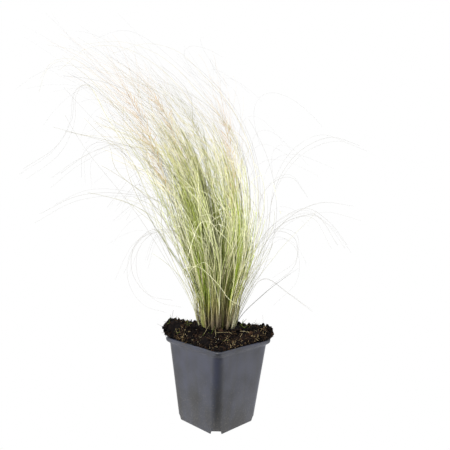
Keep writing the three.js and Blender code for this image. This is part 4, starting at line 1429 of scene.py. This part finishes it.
def rolledLeaf():
    # a living grass blade, rolled into a thread: waxy, a little glossy, purplish brown at the
    # sheath, fresh green above it and bleached to straw towards the tip
    material, tree, shader = newMaterial("feather grass blade, rolled and waxy")
    rise, dry, tone = (addNode(tree, "ShaderNodeAttribute", attribute_name=name).outputs["Fac"]
                       for name in ("rise", "dry", "tone"))
    fresh = fillRamp(addNode(tree, "ShaderNodeValToRGB", links={0: rise}), [
        (0.03, "#443828"), (0.055, "#746850"), (0.095, "#98984A"), (0.14, "#AEC64A"), (0.38, "#C0D250"),
        (0.55, "#CCD074"), (0.7, "#C0BC90"), (0.85, "#B2AE96"), (0.96, "#ACA99C"), (1.0, "#C4C1B6")])
    straw = fillRamp(addNode(tree, "ShaderNodeValToRGB", links={0: rise}), [
        (0.03, "#5E5242"), (0.055, "#A09076"), (0.11, "#D0C28C"), (0.3, "#FEFAD6"), (0.5, "#F4EECE"),
        (0.65, "#D6CCA6"), (0.8, "#C0B89A"), (0.96, "#B4AEA0"), (1.0, "#CCC9BE")])
    lightness = fillRamp(addNode(tree, "ShaderNodeValToRGB", links={0: tone}),
                         [(0.0, 0.13), (0.5, 0.62), (0.8, 0.97), (1.0, 1.0)])
    colour = addNode(tree, "ShaderNodeMix", data_type="RGBA", links={0: dry, 6: fresh, 7: straw})
    toned = addNode(tree, "ShaderNodeMix", data_type="RGBA", blend_type="MULTIPLY", inputs={0: 1.0},
                    links={6: colour.outputs[2], 7: lightness})
    setNode(tree, shader, {"Roughness": 0.42, "IOR": 1.45, "Specular IOR Level": 0.2},
            {"Base Color": mottled(tree, toned.outputs[2], 9 * mm)})
    return material


# flower stems: a straw-coloured stalk, slim seeds along its top and long silky awns

flower = {
    "end": 298 * mm,
    "endShift": {5: -40 * mm, 19: -30 * mm, 9: 8 * mm},
    "unevenness": 30 * mm,
    "rightSideLoss": 50 * mm,
    "rightSideDraw": 0.2,  # share of its side by which a stem on the right draws in
    "leans": {33: 0.18, 9: 0.24, 19: 0.17, 5: 0.36, 2: -0.12, 23: -0.2, 12: 0.12, 40: 0.02, 16: 0.05,
              26: -0.1, 37: -0.1},
    "usualLean": 0.03,
    "leanFrom": 130 * mm,
    "leanOver": 170 * mm,
    "stalkRadius": 0.22 * mm,
    "stalkDepth": 6 * mm,  # under the soil's surface
    "stalkSteps": 44,
    "sheaths": 8,
    "sheathReach": 1.1,  # of the root spread
    "sheathLength": (80 * mm, 170 * mm),
    "sheathFrom": 10 * mm,
    "sheathSpread": 2,
    "sheathFlow": (0.1, 0.75, 0.2),  # wander, gather and drift
    "sheathSteps": 22,
    "strongHeads": {33: "ripeHead", 9: "ripeHead", 5: "ripeHead", 19: "greenHead"},
    "headLength": 120 * mm,  # stretch of the stalk that carries seeds
    "seeds": (15, 54),  # on a usual head and on a full one
    "seedSpread": (1.3, 2.3),  # of the tuft's cell, in the same order
    "seedLength": 9 * mm,
    "seedRadius": 0.3 * mm,
    "seedShape": (0.25, 0.8, 1.0, 0.8, 0.45, 0.2),  # of its radius, from its foot to its tip
    "awnLength": 75 * mm,
    "awnRadius": 0.08 * mm,
    "awnSpread": 2.8,
    "awnTipFall": (-12 * mm, 14 * mm),
    "awnWaves": 0.03,
    "awnSteps": 16,
    "silks": 7,
    "silkFrom": 60 * mm,  # under the stalk's end
    "silkLength": (60 * mm, 150 * mm),
    "silkRadius": 0.055 * mm,
    "silkSpread": 2.2,
    "silkWay": (-0.8, 0, 0.5),  # where the silks bend to
    "silkSteps": 24,
}

# a stem's parts: the value that tells them apart, which is also their place on a ramp, and colour
flowerParts = {
    "stalk": (0.1, "#CFC698"),
    "sheath": (0.3, "#B4BA74"),
    "seed": (0.4, "#CCC49C"),
    "greenHead": (0.5, "#9E9E68"),
    "ripeHead": (0.6, "#D0B07A"),
    "silk": (0.8, "#989690"),
    "awn": (1.0, "#B2AC9C"),
}


def headSide(index, along):
    # each stem leans its own way from the clump's bend as it rises
    side = places[index][0]
    opened = smoothStep(along, clump["soilLevel"], clump["opening"])
    drawnIn = flower["rightSideDraw"] * max(0, side) * opened
    rising = np.clip((along - flower["leanFrom"]) / flower["leanOver"], 0, 1.4) ** 1.3
    return side - drawnIn + flower["leans"].get(index, flower["usualLean"]) * rising


def flowerFlow(index, along, offset):
    # the flow past a stem, for strands that stand off it by their offsets
    return flow(along, headSide(index, along) + offset[..., 0], places[index][1] + offset[..., 1])


def flowerStalk(index, end):
    start, steps = clump["soilLevel"] - flower["stalkDepth"], flower["stalkSteps"]
    along = np.linspace(start, min(levelAlong[-1], end + flower["awnLength"]), steps)
    stalk = flowerFlow(index, along, np.zeros((steps, 2)))
    for at, leave, route in strayAwns:
        if at == index:
            stalk = strayStrand(places[index], (0, 0), leave * mm, np.array(route) * mm, steps, start)
    reach = np.linspace(0, 1, steps)
    radii = flower["stalkRadius"] * (1 - 0.75 * smoothStep(reach, 0.55, 0.4))
    return strands(stalk[None], radii[None], 4, part=flowerParts["stalk"][0], rise=reach)


def stalkSheaths(random, index):
    # sheath leaves round the stalk's foot
    count = flower["sheaths"]
    roots = spiralSpots(count, rootSpread * flower["sheathReach"], index)
    spots = roundSpots(random, count, clump["cell"] * flower["sheathSpread"])
    end = random.uniform(*flower["sheathLength"], count)
    points, along = followers(random, places[index], roots, spots, sheathStart, end, flower["sheathSteps"],
                              *flower["sheathFlow"])
    closing = smoothStep(along, flower["sheathFrom"], random.uniform(*leaf["sheathEnd"], count)[:, None])
    broad = random.uniform(*leaf["sheathRadius"], count)[:, None]
    radii = broad * (1 - closing) + flower["stalkRadius"] * closing
    return strands(points, radii, 5, part=flowerParts["sheath"][0], rise=along / levelAlong[-1])


def flowerHead(random, index, end):
    # seeds hug the stalk's top, and each has an awn that sweeps up past it
    isFull = int(index in flower["strongHeads"])
    seedPart, awnPart = (flowerParts[flower["strongHeads"].get(index, usual)][0] for usual in ("seed", "awn"))
    count = flower["seeds"][isFull]
    foot = (end - flower["headLength"] * (1 - (np.arange(count) + 0.5) / count))[:, None]
    spots = roundSpots(random, count, clump["cell"] * flower["seedSpread"][isFull], 0.2)
    step = np.linspace(0, 1, len(flower["seedShape"]))[None, :]
    opened = (0.12 + 0.35 * step)[..., None]
    seeds = flowerFlow(index, foot + flower["seedLength"] * step, spots[:, None] * opened)
    radii = flower["seedRadius"] * np.array(flower["seedShape"]) * random.uniform(0.7, 1.2, (count, 1))
    parts = [strands(seeds, radii, 4, part=seedPart, rise=step)]

    step = np.linspace(0, 1, flower["awnSteps"])[None, :]
    length = flower["awnLength"] * random.uniform(0.5, 1.3, (count, 1))
    along = np.minimum(foot + flower["seedLength"] + length * step, levelAlong[-1])
    spots = roundSpots(random, count, clump["cell"] * flower["awnSpread"], 0.2)
    phase = 2 * np.pi * random.random((count, 1, 2))
    rise = step[..., None]
    waves = flower["awnWaves"] * np.sin(phase + 5 * rise) * rise
    awns = flowerFlow(index, along, spots[:, None] * rise**0.8 + waves)
    tipFall = smoothStep(step) ** 2 * random.uniform(*flower["awnTipFall"], (count, 1))
    awns, kept = trimmed(awns - tipFall[..., None] * [0.9, 0, 1])
    taper = np.linspace(1, 0.4, flower["awnSteps"])
    radii = taper * flower["awnRadius"] * random.uniform(0.8, 1.3, (count, 1))
    return parts + [strands(awns, radii, 3, kept, part=awnPart, rise=step)]


def flowerSilks(random, index, end):
    # the longest awns trail on past the flow, up and to the side that the clump leans to
    count, steps = flower["silks"], flower["silkSteps"]
    leave = end - flower["silkFrom"] * random.random(count)
    spots = roundSpots(random, count, clump["cell"] * flower["silkSpread"])
    side, depth = headSide(index, leave) + spots[:, 0], places[index][1] + spots[:, 1]
    here = flow(leave, side, depth)
    heading = unit(here - flow(leave - 5 * mm, side, depth))
    heading = unit(heading + 0.16 * random.normal(size=heading.shape))
    wanted = unit(np.array(flower["silkWay"]) + [0.25, 0.35, 0.35] * random.normal(size=(count, 3)))
    stride = random.uniform(*flower["silkLength"], count)[:, None] / (steps - 1)
    silk = [here]
    for step in np.linspace(0, 1, steps)[1:]:
        silk.append(silk[-1] + unit(heading * (1 - step) + wanted * step) * stride)
    silk, kept = trimmed(np.stack(silk, axis=1))
    radii = flower["silkRadius"] * np.linspace(1, 0.4, steps)
    return strands(silk, radii, 3, kept, part=flowerParts["silk"][0], rise=np.linspace(0.3, 1, steps))


def makeFlowerStem(index, name, node, material):
    random = np.random.default_rng(clump["seed"] + index)
    end = flower["end"] + flower["endShift"].get(index, 0)
    end -= flower["rightSideLoss"] * max(0, places[index][0])
    end += flower["unevenness"] * (random.random() - 0.5)
    parts = [
        flowerStalk(index, end),
        stalkSheaths(random, index),
        *flowerHead(random, index, end),
        flowerSilks(random, index, end),
    ]
    piece = buildMesh(name, parts, material)
    putOnFrame(piece, node)


def driedFlower():
    # dry stalk, papery seeds and silky awns, grown thin and bleached by the sun
    material, tree, shader = newMaterial("feather grass flower, dry and papery")
    part, rise = (addNode(tree, "ShaderNodeAttribute", attribute_name=name).outputs["Fac"]
                  for name in ("part", "rise"))
    kinds = fillRamp(addNode(tree, "ShaderNodeValToRGB", links={0: part}), list(flowerParts.values()))
    foot = fillRamp(addNode(tree, "ShaderNodeValToRGB", links={0: rise}),
                    [(0.0, "#B4A684"), (0.2, "#FFFFFF")])
    colour = addNode(tree, "ShaderNodeMix", data_type="RGBA", blend_type="MULTIPLY", inputs={0: 0.8},
                     links={6: kinds, 7: foot})
    setNode(tree, shader, {"Roughness": 0.5, "IOR": 1.45},
            {"Base Color": mottled(tree, colour.outputs[2], 6 * mm)})
    return material


def makeClump():
    leafMaterial, flowerMaterial = rolledLeaf(), driedFlower()
    tufts, stems = 0, 0
    for index in range(clump["places"]):
        if index % clump["run"] in clump["flowersInRun"]:
            stems += 1
            makeFlowerStem(index, f"flower_{stems:02d}", f"flower_stem_{stems:02d}", flowerMaterial)
        else:
            tufts += 1
            makeLeafTuft(index, f"leaves_{tufts:02d}", f"leaf_tuft_{tufts:02d}", leafMaterial)


print("grass")
makeClump()
